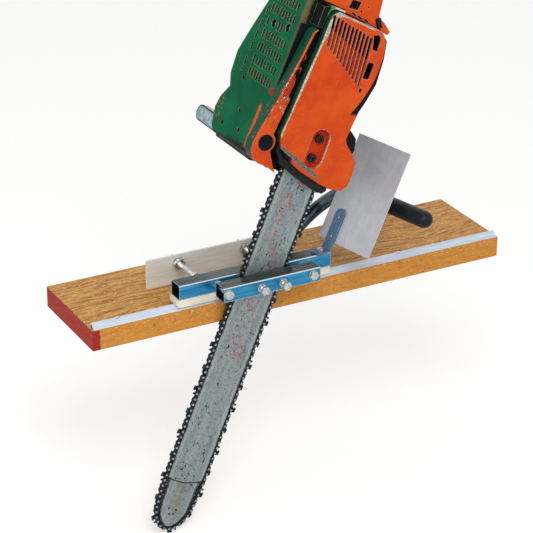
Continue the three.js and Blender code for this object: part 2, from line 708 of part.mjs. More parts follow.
// Deflector: a sheet riveted to a strip that is bolted on the rear tube
function makeDeflector() {
  const seat = tubeLift + tubeHigh;
  const swivel = new THREE.Group();
  swivel.position.set(...deflectorPlace, seat);
  swivel.rotation.z = stripTurn;
  carriage.add(swivel);
  const half = stripWide / 2;
  const lean = THREE.MathUtils.degToRad(deflectorLeanDegrees);
  const foot = block([-stripFoot, 0], [-half, half], [restGap, stripThick + restGap]);
  const rise = new THREE.Shape();
  rise.moveTo(-half, 0);
  rise.lineTo(half, 0);
  rise.lineTo(half, stripRise - half);
  rise.absarc(0, stripRise - half, half, 0, Math.PI);
  const upright = new THREE.ExtrudeGeometry(rise, { depth: stripThick, bevelEnabled: false,
    curveSegments: handleSides / 2 });
  upright.rotateX(Math.PI / 2).rotateZ(Math.PI / 2).translate(-stripThick / 2, 0, 0);
  upright.rotateY(lean).translate(0, 0, stripThick / 2 + restGap);
  const bend = barY(stripThick / 2, 0, stripThick / 2 + restGap, -half, half, holeSides);
  const boltHole = barZ(stripBoltRadius + holeClearance, -stripBoltBack, 0, -overrun, stripThick + overrun);
  place(swivel, 'deflector_bracket', cut(join(foot, upright, bend), boltHole), barSteel);
  const boltSeat = restGap + stripThick;
  const head = hexZ(stripBoltAcross, -stripBoltBack, 0, boltSeat, boltSeat + stripBoltHead);
  const shank = barZ(stripBoltRadius, -stripBoltBack, 0, boltSeat - stripBoltLong,
    boltSeat + stripBoltHead / 2);
  place(swivel, 'bracket_bolt', join(head, shank), brightSteel);
  const leaning = new THREE.Group();
  leaning.position.z = stripThick / 2 + restGap;
  leaning.rotation.y = lean;
  swivel.add(leaning);
  const front = stripThick / 2 + restGap;
  place(leaning, 'deflector_sheet', block([front, front + sheetThick],
    [-sheetShift - sheetWide / 2, -sheetShift + sheetWide / 2], [sheetStart, sheetStart + sheetHigh]),
  aluminium);
}

// The saw's own frame, leaning in the cutting plane
const saw = new THREE.Group();
saw.position.x = sawFoot;
saw.rotation.y = THREE.MathUtils.degToRad(sawLeanDegrees);
carriage.add(saw);

// The saw's body, with the crankshaft's axis as its origin
const engine = new THREE.Group();
engine.position.z = crankHeight;
saw.add(engine);

// An outline given as shares of a width and a length, both counted from their first value
function shareLine(shares, [left, wide], [foot, long]) {
  return shares.map(([across, up]) => [left + across * wide, foot + up * long]);
}

const coverLine = shareLine(coverLineShares, coverSpan, coverRise);
const rearBlockLine = shareLine(rearBlockLineShares, rearBlockSpan, rearBlockRise);

// The line the chain runs round: bar, nose and drive sprocket, grown outwards
function chainLine(grow) {
  const half = barWide / 2 + grow;
  const noseHalf = half - noseTaper;
  const line = [];
  for (let step = 0; step <= turnSteps; step += 1) {
    const angle = -Math.PI / 2 + (step / turnSteps) * Math.PI;
    line.push([noseHalf * Math.sin(angle), barTip + noseRound - (noseRound + grow) * Math.cos(angle)]);
  }
  const sideStart = barTip + straightShares[0] * noseRound;
  const sideEnd = barTop - straightShares[1] * noseRound;
  const radius = sprocketRadius + grow;
  const shoulder = [half - noseTaper / 4, barTip + noseShoulderShare * noseRound];
  const side = Array.from({ length: sideSteps + 1 }, (_, step) =>
    [half, sideStart + (step / sideSteps) * (sideEnd - sideStart)]);
  line.push(shoulder, ...side);
  for (let step = 0; step <= turnSteps; step += 1) {
    const angle = (step / turnSteps) * Math.PI;
    line.push([radius * Math.cos(angle), crankHeight + radius * Math.sin(angle)]);
  }
  side.reverse().forEach(([x, z]) => line.push([-x, z]));
  line.push([-shoulder[0], shoulder[1]]);
  return line;
}

// Wheel outline with square-topped teeth
function toothedWheel(radius, teeth, deep, x, z) {
  const points = [];
  const shares = [0, 0.35, 0.5, 0.85];
  for (let tooth = 0; tooth < teeth; tooth += 1) {
    shares.forEach((share, index) => {
      const angle = ((tooth + share) / teeth) * 2 * Math.PI;
      const reach = index < 2 ? radius : radius - deep;
      points.push([x + reach * Math.cos(angle), z + reach * Math.sin(angle)]);
    });
  }
  return outline(points);
}

function makeBar() {
  const half = barWide / 2;
  const face = barThick / 2;
  const seamLine = (reach, gap) => Array.from({ length: seamSteps + 1 }, (_, step) => {
    const x = reach * (2 * step / seamSteps - 1);
    return [x, seamPlace - gap - (seamSag / 2) * (1 - (x / half) ** 2)];
  });
  const body = outline(seamLine(half, 0));
  body.lineTo(half, barTop - barShoulderShare * half);
  body.quadraticCurveTo(half, barTop, half / 3, barTop);
  body.lineTo(-half / 3, barTop);
  body.quadraticCurveTo(-half, barTop, -half, barTop - barShoulderShare * half);
  const studMiddle = crankHeight + (studPlaces[0][1] + studPlaces[1][1]) / 2;
  const slotHalf = (studPlaces[1][1] - studPlaces[0][1]) / 2 + barSlotReach;
  const slot = roundedRectangle(-barSlotHalf, barSlotHalf + barSlotFlat, studMiddle - slotHalf,
    studMiddle + slotHalf, barSlotHalf);
  place(saw, 'guide_bar', cut(slabXZ(body, -face, face, 12), slabXZ(slot, -face - overrun, face + overrun)),
    barSteel);

  const noseHalf = half - noseInsets[1];
  const noseStart = barTip + noseRound;
  const nose = outline(seamLine(half - noseInsets[0], restGap).reverse());
  nose.lineTo(-noseHalf, noseStart);
  nose.absellipse(0, noseStart, noseHalf, noseRound, Math.PI, 2 * Math.PI);
  const middle = barTip + noseSprocketBack;
  const hub = solid(barY(nosePinRadius, 0, middle, -face, face));
  const pocket = solid(block([-barWide, barWide], [-slotWide / 2, slotWide / 2],
    [barTip - noseRound, middle + noseSprocketRadius + noseSprocketClear]));
  place(saw, 'bar_nose', surface(solid(slabXZ(nose, -face, face, 14)).subtract(pocket).add(hub)), barSteel);
  const wheel = slabXZ(toothedWheel(noseSprocketRadius, noseSprocketTeeth, toothDeep, 0, middle),
    -noseSprocketThick / 2, noseSprocketThick / 2);
  const pinHole = barY(nosePinRadius + holeClearance, 0, middle, -face, face);
  place(saw, 'nose_sprocket', cut(wheel, pinHole), chainSteel);
}

function makeChain() {
  const loop = (grow) => new THREE.CatmullRomCurve3(chainLine(grow).map(([x, z]) =>
    new THREE.Vector3(x, 0, z)), true, 'centripetal');
  const inner = loop(chainClear);
  const links = Math.round(inner.getLength() / chainPitch);
  const samples = 4 * links;
  const heights = [chainHigh, chainHigh, chainHigh - chainGullet, chainHigh - chainGullet];
  const inside = inner.getSpacedPoints(samples).slice(0, samples);
  const outside = inside.map((point, index) => {
    const ahead = inside[(index + 1) % samples];
    const behind = inside[(index + samples - 1) % samples];
    const along = ahead.clone().sub(behind).normalize();
    const reach = heights[index % heights.length];
    return [point.x + along.z * reach, point.z - along.x * reach];
  });
  place(saw, 'saw_chain', ringSlab(inside.map((point) => [point.x, point.z]), outside,
    -chainWide / 2, chainWide / 2), chainSteel);
}

// A flat ring between two outlines with the same number of points
function ringSlab(inside, outside, y0, y1) {
  const rings = [[inside, y0], [outside, y0], [outside, y1], [inside, y1]];
  const count = inside.length;
  const positions = rings.flatMap(([line, y]) => line.flatMap(([x, z]) => [x, y, z]));
  const faces = [];
  for (let ring = 0; ring < rings.length; ring += 1) {
    for (let index = 0; index < count; index += 1) {
      const next = (index + 1) % count;
      const here = ring * count;
      const beyond = ((ring + 1) % rings.length) * count;
      faces.push(here + index, beyond + next, here + next, here + index, beyond + index, beyond + next);
    }
  }
  const geometry = new THREE.BufferGeometry();
  geometry.setAttribute('position', new THREE.Float32BufferAttribute(positions, 3));
  geometry.setIndex(faces);
  geometry.computeVertexNormals();
  return geometry;
}

// A slab whose outline is moved outwards, or inwards where grow is below zero
function grownSlab(line, grow, y0, y1) {
  const skin = Math.abs(grow) / 10;
  const flat = new THREE.ExtrudeGeometry(outline(line), { depth: y1 - y0 - 2 * skin, bevelEnabled: true,
    bevelThickness: skin, bevelSize: 0, bevelOffset: grow, bevelSegments: 1 });
  return flat.rotateX(Math.PI / 2).translate(0, y1 - skin, 0);
}

// Clutch cover with its nut pocket, louvres and openings
function makeCover() {
  const body = roundedSlabXZ(outline(coverLine), -coverFace, -coverBack + coverEdge, coverEdge);
  const room = grownSlab(coverLine, -coverWall, -coverFace + coverWall, 0);
  const rimCut = block([-sawReach, sawReach], [-coverBack, coverBack], [-sawReach, sawReach]);
  const [x0, x1] = pocketX;
  const [z0, z1] = pocketZ;
  const pocket = slabXZ(roundedRectangle(x0, x1, z0, z1, pocketCorner), -coverFace - overrun, -coverFloor);
  const boss = slabXZ(roundedRectangle(x0 - coverWall, x1 + coverWall, z0 - coverWall, z1 + coverWall,
    pocketCorner + coverWall), -coverFace + coverWall / 2, -barThick / 2 - restGap);
  const studHoles = studPlaces.map(([x, z]) => barY(studRadius + holeClearance, x, z,
    -coverFloor - overrun, overrun));
  const louvres = [];
  for (let index = 0; index < louvreCount; index += 1) {
    const share = index / (louvreCount - 1);
    const top = louvreTop[0].map((value, axis) => value + share * (louvreTop[1][axis] - value));
    const foot = louvreFoot[0].map((value, axis) => value + share * (louvreFoot[1][axis] - value));
    const half = louvreWide / 2;
    louvres.push(slabXZ(outline([[foot[0] - half, foot[1] + half], [foot[0], foot[1]],
      [foot[0] + half, foot[1] + half], [top[0] + half, top[1] - half], top, [top[0] - half, top[1] - half]]),
    -coverFace - overrun, -coverFace + coverWall + overrun));
  }
  const through = [-coverFace - overrun, -coverFace + coverWall + overrun];
  const openings = [slabXZ(outline(shareLine(openingLineShares, openingSpan, openingRise)), ...through),
    slabXZ(roundedRectangle(...squareOpeningX, ...squareOpeningZ, squareOpeningCorner), ...through),
    barY(smallOpeningRadius, ...smallOpeningPlace, ...through, holeSides)];
  const shell = solid(body).subtract(solid(room)).subtract(solid(rimCut)).add(solid(boss));
  const cutters = [pocket, ...studHoles, ...louvres, ...openings].map(solid);
  const cover = cutters.reduce((rest, tool) => rest.subtract(tool), shell);
  place(engine, 'clutch_cover', surface(cover), orangePaint);
  ['lower', 'upper'].forEach((name, index) => {
    const [x, z] = studPlaces[index];
    place(engine, `bar_nut_${name}`, cut(hexY(boltAcross, x, z, -coverFloor - nutHigh, -coverFloor),
      barY(studRadius + holeClearance, x, z, -coverFloor - nutHigh - overrun, -coverFloor + overrun)),
    brightSteel);
  });
  const guardLine = shareLine(guardLineShares, guardSpan, guardRise);
  const guard = solid(slabXZ(outline(guardLine), -guardFace, -coverBack - restGap));
  const coverRoom = grownSlab(coverLine, restGap, -2 * coverFace, coverFace);
  place(engine, 'chain_guard', surface(guard.subtract(solid(coverRoom))), rubber);
}

function makeDrum() {
  const drum = barY(drumRadius, 0, 0, -drumFace, -drumBack, drumSides);
  const hollow = barY(drumRadius - drumWall, 0, 0, -drumFace - overrun, -drumBack - drumWall, drumSides);
  const wheel = slabXZ(toothedWheel(sprocketRadius, sprocketTeeth, toothDeep, 0, 0),
    -drumBack - drumWall / 2, sprocketBack);
  const shaftHole = barY(shaftRadius + holeClearance, 0, 0, -drumFace - overrun, coverFace);
  place(engine, 'clutch_drum', surface(solid(drum).subtract(solid(hollow)).add(solid(wheel))
    .subtract(solid(shaftHole))), castMetal);
}

function makeEngine() {
  const front = caseFace + flangeThick;
  const flange = slabXZ(outline(shareLine(flangeLineShares, flangeSpan, flangeRise)), caseFace, front);
  const rim = slabXZ(outline(shareLine(rimLineShares, rimSpan, rimRise)), -rimFace, front);
  const lug = slabXZ(outline(shareLine(lugLineShares, lugSpan, lugRise)), caseFace, caseFace + lugDeep);
  const shoulder = shareLine(caseShoulderShares, [caseLeft, caseRight - caseLeft],
    [caseBottom, caseTop - caseBottom]);
  const body = slabXZ(outline([[casePort, caseBottom], [caseRight, caseBottom], ...shoulder,
    [caseLeft, caseTop], [caseLeft, cylinderRoom], [-cylinderStart + restGap, cylinderRoom],
    [-cylinderStart + restGap, -cylinderRoom], [casePort, -cylinderRoom]]), front - flangeThick / 2,
  caseDeep);
  const pad = block([-barPadHalf, barPadHalf], [barThick / 2 + restGap, caseFace + flangeThick / 2],
    [studPlaces[0][1] - barPadHalf, studPlaces[1][1] + barPadHalf]);
  const studs = studPlaces.map(([x, z]) => barY(studRadius, x, z, -coverFloor - nutHigh - studTail,
    caseFace + flangeThick));
  const halfCrank = webGap / 2 + webThick + webClear;
  const cavity = barY(crankRoom, 0, 0, engineDepth - halfCrank, engineDepth + halfCrank, drumSides);
  const port = block([-cylinderStart - overrun, 0], [engineDepth - rodThick, engineDepth + rodThick],
    [-pistonRadius, pistonRadius]);
  const shaftHole = barY(shaftRadius + holeClearance, 0, 0, -overrun, caseDeep + overrun);
  const coverRoom = grownSlab(coverLine, restGap, -2 * coverFace, -coverBack + restGap);
  const sum = [body, pad, lug, ...studs].reduce((rest, piece) => rest.add(solid(piece)),
    solid(rim).subtract(solid(coverRoom)).add(solid(flange)));
  const rearRoom = grownSlab(rearBlockLine, 2 * restGap, -caseDeep, 2 * caseDeep);
  place(engine, 'crankcase', surface([cavity, port, shaftHole, rearRoom].reduce((rest, tool) =>
    rest.subtract(solid(tool)), sum)), rubber);

  const web = (y) => barY(webRadius, 0, 0, y, y + webThick, drumSides);
  place(engine, 'crankshaft', join(barY(shaftRadius, 0, 0, -drumFace, engineDepth - webGap / 2),
    web(engineDepth - webGap / 2 - webThick), web(engineDepth + webGap / 2),
    barY(shaftRadius, 0, 0, engineDepth + webGap / 2, shaftEnd),
    barY(crankPinRadius, 0, crankThrow, engineDepth - webGap, engineDepth + webGap)), brightSteel);

  const wrist = -Math.sqrt(rodLong ** 2 - crankThrow ** 2);
  const eye = (radius, x, z) => barY(radius, x, z, engineDepth - rodThick / 2, engineDepth + rodThick / 2);
  const shank = block([0, rodLong], [engineDepth - rodThick / 4, engineDepth + rodThick / 4],
    [-wristPinRadius, wristPinRadius]);
  shank.rotateY(-Math.atan2(crankThrow, -wrist)).translate(wrist, 0, 0);
  const rod = [eye(crankPinRadius + rodWall, 0, crankThrow),
    eye(wristPinRadius + rodWall, wrist, 0)].reduce((rest, piece) => rest.add(solid(piece)), solid(shank));
  place(engine, 'connecting_rod', surface(rod.subtract(solid(eye(crankPinRadius + holeClearance, 0,
    crankThrow))).subtract(solid(eye(wristPinRadius + holeClearance, wrist, 0)))),
  castMetal);

  const skirt = wrist + pistonSkirt;
  const crown = skirt - pistonLong;
  const pistonBody = solid(barX(pistonRadius, engineDepth, 0, crown, skirt, drumSides));
  const pistonRoom = solid(barX(pistonRadius - pistonWall, engineDepth, 0, crown + 2 * pistonWall,
    skirt + overrun, drumSides));
  const wristPin = solid(barY(wristPinRadius, wrist, 0, engineDepth - pistonRadius + pistonWall / 2,
    engineDepth + pistonRadius - pistonWall / 2));
  place(engine, 'piston', surface(pistonBody.subtract(pistonRoom).add(wristPin)), aluminium);

  const bore = pistonRadius + holeClearance;
  const barrel = barX(bore + cylinderWall, engineDepth, 0, -cylinderStart - cylinderLong,
    -cylinderStart, drumSides);
  const fins = [];
  for (let index = 0; index < finCount; index += 1) {
    const x = -cylinderStart - cylinderLong + finThick + index * (cylinderLong - 3 * finThick) / finCount;
    fins.push(solid(barX(bore + cylinderWall + finReach, engineDepth, 0, x, x + finThick, drumSides)));
  }
  const hollow = barX(bore, engineDepth, 0, -cylinderStart - cylinderLong + cylinderWall,
    -cylinderStart + overrun, drumSides);
  place(engine, 'cylinder', surface(fins.reduce((rest, fin) => rest.add(fin), solid(barrel))
    .subtract(solid(hollow))), aluminium);
}

function makeHousing() {
  const face = -housingFace;
  const back = caseFace - restGap;
  const [x, z] = fillerPlace;
  const top = face - fillerRise;
  const ring = solid(barY(fillerRadius, x, z, top, back, drumSides));
  const housingLine = shareLine(housingLineShares, housingSpan, housingRise);
  const strip = solid(slabXZ(outline(housingLine), face, back));
  const aside = slabXZ(outline(housingLine.map(([across, up]) => [across + grooveRim, up])),
    face - overrun, face + grooveDeep);
  const upper = block([-sawReach, sawReach], [-sawReach, sawReach], [grooveFoot, sawReach]);
  const groove = solid(aside).intersect(solid(upper));
  const mouth = solid(barY(capRadius + holeClearance, x, z, top - overrun, face + capSink + holeClearance));
  const coverRoom = grownSlab(coverLine, restGap, -2 * coverFace, 2 * coverFace);
  place(engine, 'side_housing', surface([groove, mouth, solid(coverRoom)].reduce((rest, tool) =>
    rest.subtract(tool), strip.add(ring))), orangePaint);
  const knob = barY(capRadius, x, z, top - capReach, face + capSink, drumSides);
  const rib = block([x - capRibShare * capRadius, x + capRibShare * capRadius], [top - 2 * capReach, top],
    [z - capRibHalf, z + capRibHalf]);
  place(engine, 'oil_cap', join(knob, rib), rubber);
}

// Green shroud: a hollow lid, open towards the bar side of the engine
function makeShroud() {
  const shroudLine = shareLine(shroudLineShares, shroudSpan, shroudRise);
  const line = outline(shroudLine);
  const lid = (inset, x0, x1, edge) => {
    const flat = new THREE.ExtrudeGeometry(line, {
      depth: x1 - x0 - 2 * edge, bevelEnabled: true, bevelThickness: edge, bevelSize: edge,
      bevelOffset: -edge - inset, bevelSegments: 3, curveSegments: 6,
    });
    return flat.rotateX(Math.PI / 2).rotateZ(Math.PI / 2).translate(x0 + edge, 0, 0);
  };
  const outer = solid(lid(0, -shroudTop, 0, shroudEdge));
  const inner = solid(lid(shroudWall, -shroudTop + shroudWall, 0, shroudEdge - shroudWall));
  const below = solid(block([-shroudFoot, shroudTop], [-sawReach, sawReach], [-sawReach, sawReach]));
  const wallCut = (y0, y1, z0, z1) => solid(block([-shroudTop - overrun, -shroudTop + 2 * shroudWall],
    [y0, y1], [z0, z1]));
  const vents = [];
  for (let row = 0; row < slotRows; row += 1) {
    for (let column = 0; column < slotsPerRow; column += 1) {
      const y = firstVent + column * ventPitch;
      const z = firstRow + row * rowPitch;
      const inHole = screwHolePlaces.some(([holeY, holeZ]) =>
        Math.hypot(y - holeY, z - holeZ) < 2 * screwHoleRadius);
      if (!inHole) vents.push(wallCut(y, y + ventWide, z - ventLong / 2, z + ventLong / 2));
    }
  }
  farVentPlaces.forEach(([y, z]) => vents.push(wallCut(y, y + ventWide, z - ventLong / 2, z + ventLong / 2)));
  smallHolePlaces.forEach(([y, z], index) => vents.push(solid(barX(smallHoleRadii[index], y, z,
    -shroudTop - overrun, -shroudTop + 2 * shroudWall, holeSides))));
  const screwHoles = screwHolePlaces.map(([y, z]) => solid(barX(screwHoleRadius, y, z,
    -shroudTop - overrun, -shroudTop + 2 * shroudWall)));
  const mufflerGap = solid(block([mufflerX[0] - mufflerClear, mufflerX[1]],
    [mufflerY[0] - mufflerClear, mufflerY[1] + mufflerClear],
    [mufflerZ[0] - overrun, shroudLine[0][1] + shroudEdge]));
  const outletGap = solid(block([outletX[0] - restGap, outletX[1] + restGap], [mufflerY[0], outletY[1]],
    [outletZ[0] - restGap, outletZ[1] + restGap]));
  const body = [inner, below, mufflerGap, outletGap, ...vents, ...screwHoles].reduce((rest, tool) =>
    rest.subtract(tool), outer);
  const frameLine = shareLine(frameLineShares, frameSpan, frameRise);
  const frame = solid(slabXZ(outline(frameLine), -frameFace, caseFace - restGap));
  const [frameLeft, frameFoot] = frameLine[0];
  const link = solid(block([frameLeft, -shroudFoot], [0, shroudLine[0][0] + shroudWall / 2],
    [frameFoot + restGap, frameLine[frameLine.length - 1][1] - restGap]));
  place(engine, 'engine_shroud', surface(body.add(frame).add(link)), greenPaint);
}

function makeMuffler() {
  const box = (inset) => {
    const shape = roundedRectangle(mufflerX[0] + inset, mufflerX[1] - inset, mufflerZ[0] + inset,
      mufflerZ[1] - inset, mufflerEdge);
    return slabXZ(shape, mufflerY[0] + inset, mufflerY[1] - inset, 3);
  };
  const neck = block([-cylinderStart - cylinderLong + portHalf, -cylinderStart - portHalf],
    [engineDepth - portHalf, engineDepth + portHalf], [mufflerZ[1] - mufflerWall / 2,
      -pistonRadius - holeClearance - cylinderWall - finReach - restGap]);
  const mouth = block([outletX[0] - restGap, outletX[1] + restGap], [mufflerY[1] - overrun - mufflerWall,
    mufflerY[1] + overrun], [outletZ[0] - restGap, outletZ[1] + restGap]);
  place(engine, 'muffler', surface(solid(box(0)).subtract(solid(box(mufflerWall))).add(solid(neck))
    .subtract(solid(mouth))), exhaustMetal);
  const spout = (inset, start) => {
    const side = roundedRectangle(start, outletY[1] - inset, outletZ[0] + inset, outletZ[1] - inset,
      outletCorner - inset);
    return solid(slabYZ(side, outletX[0] + inset, outletX[1] - inset));
  };
  const trim = (y) => solid(block([2 * outletX[0], 0], [0, y], [-sawReach, sawReach]));
  const slot = solid(block([outletX[0] + 2 * mufflerWall, outletX[1] - 2 * mufflerWall],
    [outletY[1] - outletMouth - outletCorner, outletY[1] - outletCorner], [outletZ[0] - overrun,
      outletZ[0] + 2 * mufflerWall]));
  const outer = spout(0, outletY[0] - 2 * outletCorner).subtract(trim(outletY[0]));
  const room = spout(mufflerWall, outletY[0] - 3 * outletCorner);
  place(engine, 'exhaust_outlet', surface(outer.subtract(room).subtract(slot)), aluminium);
}

function makeStarter() {
  const start = caseDeep + restGap;
  const cup = solid(barY(starterRadius, 0, 0, start, starterEnd, drumSides));
  const room = solid(barY(starterRadius - starterWall, 0, 0, start - overrun,
    starterEnd - starterWall, drumSides));
  const slots = [];
  for (let index = 0; index < starterSlots; index += 1) {
    const slot = block([-starterSlotHalf, starterSlotHalf], [starterEnd - 2 * starterWall,
      starterEnd + overrun], [flywheelRadius / 3, flywheelRadius]);
    slots.push(solid(slot.rotateY((index / starterSlots) * 2 * Math.PI)));
  }
  const [x, y] = pullPlace;
  const pullStart = starterRadius - pullSink;
  const mouth = solid(barZ(pullStubRadius + holeClearance, x, y, 0, pullStart));
  const shell = [room, mouth, ...slots].reduce((rest, tool) => rest.subtract(tool), cup);
  place(engine, 'starter_housing', surface(shell), orangePaint);
  const grip = join(barZ(pullRadius, x, y, pullStart, pullStart + pullLong / 2),
    barY(pullRadius, x, pullStart + pullLong / 2, y - pullLong / 2, y + pullLong / 2),
    barZ(pullStubRadius, x, y, pullStart - pullStub, pullStart + overrun, holeSides));
  place(engine, 'starter_grip', grip, rubber);
  const [y0, y1] = flywheelY;
  const disc = solid(barY(flywheelRadius, 0, 0, y0, y1, drumSides));
  let wheel = disc;
  for (let index = 0; index < bladeCount; index += 1) {
    const blade = block([-bladeThick / 2, bladeThick / 2], [y1 - bladeThick / 2, y1 + bladeHigh],
      [flywheelRadius / 2, flywheelRadius - bladeThick]);
    wheel = wheel.add(solid(blade.rotateY((index / bladeCount) * 2 * Math.PI)));
  }
  const shaftHole = solid(barY(shaftRadius + holeClearance, 0, 0, y0 - overrun, y1 + overrun));
  place(engine, 'flywheel', surface(wheel.subtract(shaftHole)), aluminium);
}

function makeRear() {
  const loop = roundedRectangle(rearX[0], rearX[1], rearZ[0], rearZ[1], loopCorner);
  const hole = roundedRectangle(rearX[0] + loopWall, rearX[1] - loopWall, rearHoleStart,
    rearZ[1] - loopWall, loopCorner / 2);
  const [y0, y1] = rearY;
  const middle = (y0 + y1) / 2;
  const blockY = rearBlockY;
  const frame = solid(slabXZ(loop, y0, y1)).subtract(solid(slabXZ(hole, y0 - overrun, y1 + overrun)));
  const base = solid(roundedSlabXZ(outline(rearBlockLine), blockY[0], blockY[1], coverEdge));
  const slotY = [middle - leverSlot / 2, middle + leverSlot / 2];
  const lower = rearX[0] + loopWall;
  const triggerSlot = solid(block([lower - triggerSink - triggerTravel, lower + overrun], slotY,
    [triggerZ[0] - leverGap, triggerZ[1] + leverGap]));
  const lockoutSlot = solid(block([rearX[0] - overrun, rearX[0] + lockoutSink + lockoutTravel], slotY,
    [lockoutZ[0] - leverGap, lockoutZ[1] + leverGap]));
  const capHole = solid(barY(fuelCapRadius - coverWall + holeClearance, ...fuelCapPlace,
    blockY[1] - fuelCapHigh, blockY[1] + overrun, drumSides));
  const into = [blockY[0] - overrun, blockY[0] + rearCutDeep];
  const slots = rearSlotStarts.map(([x0, z0], index) => {
    const [x1, z1] = rearSlotEnds[index];
    const long = Math.hypot(x1 - x0, z1 - z0);
    const slot = slabXZ(roundedRectangle(0, long, -rearSlotHalf, rearSlotHalf, rearSlotHalf / 2), ...into, 2);
    return solid(slot.rotateY(-Math.atan2(z1 - z0, x1 - x0)).translate(x0, 0, z0));
  });
  const holes = rearHolePlaces.map(([x, z]) => solid(barY(rearHoleRadius, x, z, ...into, holeSides)));
  const [[footLeft, footRight], [topLeft, topRight]] = rearRecessX;
  const [recessFoot, recessTop] = rearRecessZ;
  const recess = solid(slabXZ(outline([[footLeft, recessFoot], [footRight, recessFoot],
    [topRight, recessTop], [topLeft, recessTop]]), ...into));
  place(engine, 'rear_handle', surface([triggerSlot, lockoutSlot, capHole, recess, ...slots, ...holes]
    .reduce((rest, tool) => rest.subtract(tool), frame.add(base))), orangePaint);
  const leverY = [middle - leverWide / 2, middle + leverWide / 2];
  const trigger = new THREE.Shape();
  trigger.moveTo(lower - triggerSink, triggerZ[0]);
  trigger.quadraticCurveTo(lower + 2 * triggerDeep, triggerZ[0] + triggerDeep, lower - triggerSink,
    triggerZ[1]);
  place(engine, 'throttle_trigger', slabXZ(trigger, ...leverY, 12), rubber);
  const lockout = new THREE.Shape();
  const lockoutInner = rearX[0] + lockoutSink;
  lockout.moveTo(lockoutInner, lockoutZ[0]);
  lockout.lineTo(lockoutInner, lockoutZ[1]);
  lockout.quadraticCurveTo(rearX[0] - 2 * lockoutRise, (lockoutZ[0] + lockoutZ[1]) / 2,
    lockoutInner, lockoutZ[0]);
  place(engine, 'throttle_lockout', slabXZ(lockout, ...leverY, 12), rubber);
  const [x, z] = fuelCapPlace;
  const cap = join(barY(fuelCapRadius, x, z, blockY[1] + restGap, blockY[1] + fuelCapHigh, drumSides),
    barY(fuelCapRadius - coverWall, x, z, blockY[1] - fuelCapHigh + overrun, blockY[1] + overrun, drumSides));
  place(engine, 'fuel_cap', cap, rubber);
}

makeBoard();
makeTubes();
makeShoe();
makeBolts();
makeOutrigger();
makeHandle();
makeDeflector();
makeBar();
makeChain();
makeCover();
makeDrum();
makeEngine();
makeHousing();
makeShroud();
makeMuffler();
makeStarter();
makeRear();

export default mill;
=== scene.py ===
import json
import math
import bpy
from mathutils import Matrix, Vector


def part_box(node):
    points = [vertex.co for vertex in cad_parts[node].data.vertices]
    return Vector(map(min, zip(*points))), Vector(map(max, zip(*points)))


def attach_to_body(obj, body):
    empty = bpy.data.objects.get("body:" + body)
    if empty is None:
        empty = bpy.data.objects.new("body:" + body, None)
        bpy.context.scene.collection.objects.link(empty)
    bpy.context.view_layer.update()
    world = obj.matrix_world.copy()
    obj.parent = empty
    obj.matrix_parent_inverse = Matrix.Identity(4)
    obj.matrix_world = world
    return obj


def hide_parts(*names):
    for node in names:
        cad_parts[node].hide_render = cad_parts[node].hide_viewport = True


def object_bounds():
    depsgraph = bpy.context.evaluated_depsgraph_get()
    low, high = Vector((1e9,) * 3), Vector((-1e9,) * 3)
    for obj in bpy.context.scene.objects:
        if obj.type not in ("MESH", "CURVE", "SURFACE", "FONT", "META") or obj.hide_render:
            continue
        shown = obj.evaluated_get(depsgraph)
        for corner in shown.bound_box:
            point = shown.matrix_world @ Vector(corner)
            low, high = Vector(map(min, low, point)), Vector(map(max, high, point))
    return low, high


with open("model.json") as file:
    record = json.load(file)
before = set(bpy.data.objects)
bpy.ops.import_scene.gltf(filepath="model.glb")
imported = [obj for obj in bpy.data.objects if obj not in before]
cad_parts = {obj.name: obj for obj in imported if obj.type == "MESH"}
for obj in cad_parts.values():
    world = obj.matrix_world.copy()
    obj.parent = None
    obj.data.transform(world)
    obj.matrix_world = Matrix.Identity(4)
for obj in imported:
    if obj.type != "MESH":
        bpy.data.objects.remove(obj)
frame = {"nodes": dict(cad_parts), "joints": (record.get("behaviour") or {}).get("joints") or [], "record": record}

from types import SimpleNamespace

import bmesh
import bpy
from mathutils import Matrix, Vector

cadBox = [list(corner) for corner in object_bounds()]
mm = 0.001
record = frame["record"]
nodes = frame["nodes"]
bodyOf = {node: body for body, members in record["behaviour"]["bodies"].items() for node in members}
jointOf = {joint["name"]: joint for joint in frame["joints"]}

# The saw leans in the cutting plane: Z runs up its bar from the crankshaft, X away from the slotted side
crank = Vector(jointOf["clutch_spin"]["pos_m"])
nosePin = Vector(jointOf["nose_spin"]["pos_m"])
crank.y = nosePin.y
sawLean = math.atan2(crank.x - nosePin.x, crank.z - nosePin.z)
sawFrame = Matrix.Translation(crank) @ Matrix.Rotation(sawLean, 4, "Y") @ Matrix.Scale(mm, 4)
print("frame loaded, saw leans", round(math.degrees(sawLean), 1))


def onSaw(x, y, z):
    return sawFrame @ Vector((x, y, z))


finishes, groups = {}, {}  # materials and node groups by name
tree = None  # the node tree that is being built


class Wire:  # a node's output, which adds and multiplies like a number
    def __init__(self, socket):
        self.socket = socket

    def __add__(self, other):
        return calc("ADD", self, other)

    def __mul__(self, other):
        return calc("MULTIPLY", self, other)

    def __sub__(self, other):
        return calc("SUBTRACT", self, other)

    def __rsub__(self, other):
        return calc("SUBTRACT", other, self)

    def __truediv__(self, other):
        return calc("DIVIDE", self, other)

    def __pow__(self, other):
        return calc("POWER", self, other)

    def __abs__(self):
        return calc("ABSOLUTE", self)

    __radd__, __rmul__ = __add__, __mul__


def feed(socket, value):  # a wire, a list of wires or a plain value
    if isinstance(value, (Wire, list)):
        for wire in value if isinstance(value, list) else [value]:
            tree.links.new(wire.socket, socket)
    else:
        socket.default_value = value


def put(kind, inputs={}, output=0, **settings):
    node = tree.nodes.new(kind)
    for key, value in settings.items():
        setattr(node, key, value)
    for key, value in inputs.items():
        feed(node.inputs[key], value)
    return Wire(node.outputs[output])


def calc(operation, first, second=0.0, third=0.0):
    return put("ShaderNodeMath", {0: first, 1: second, 2: third}, operation=operation)


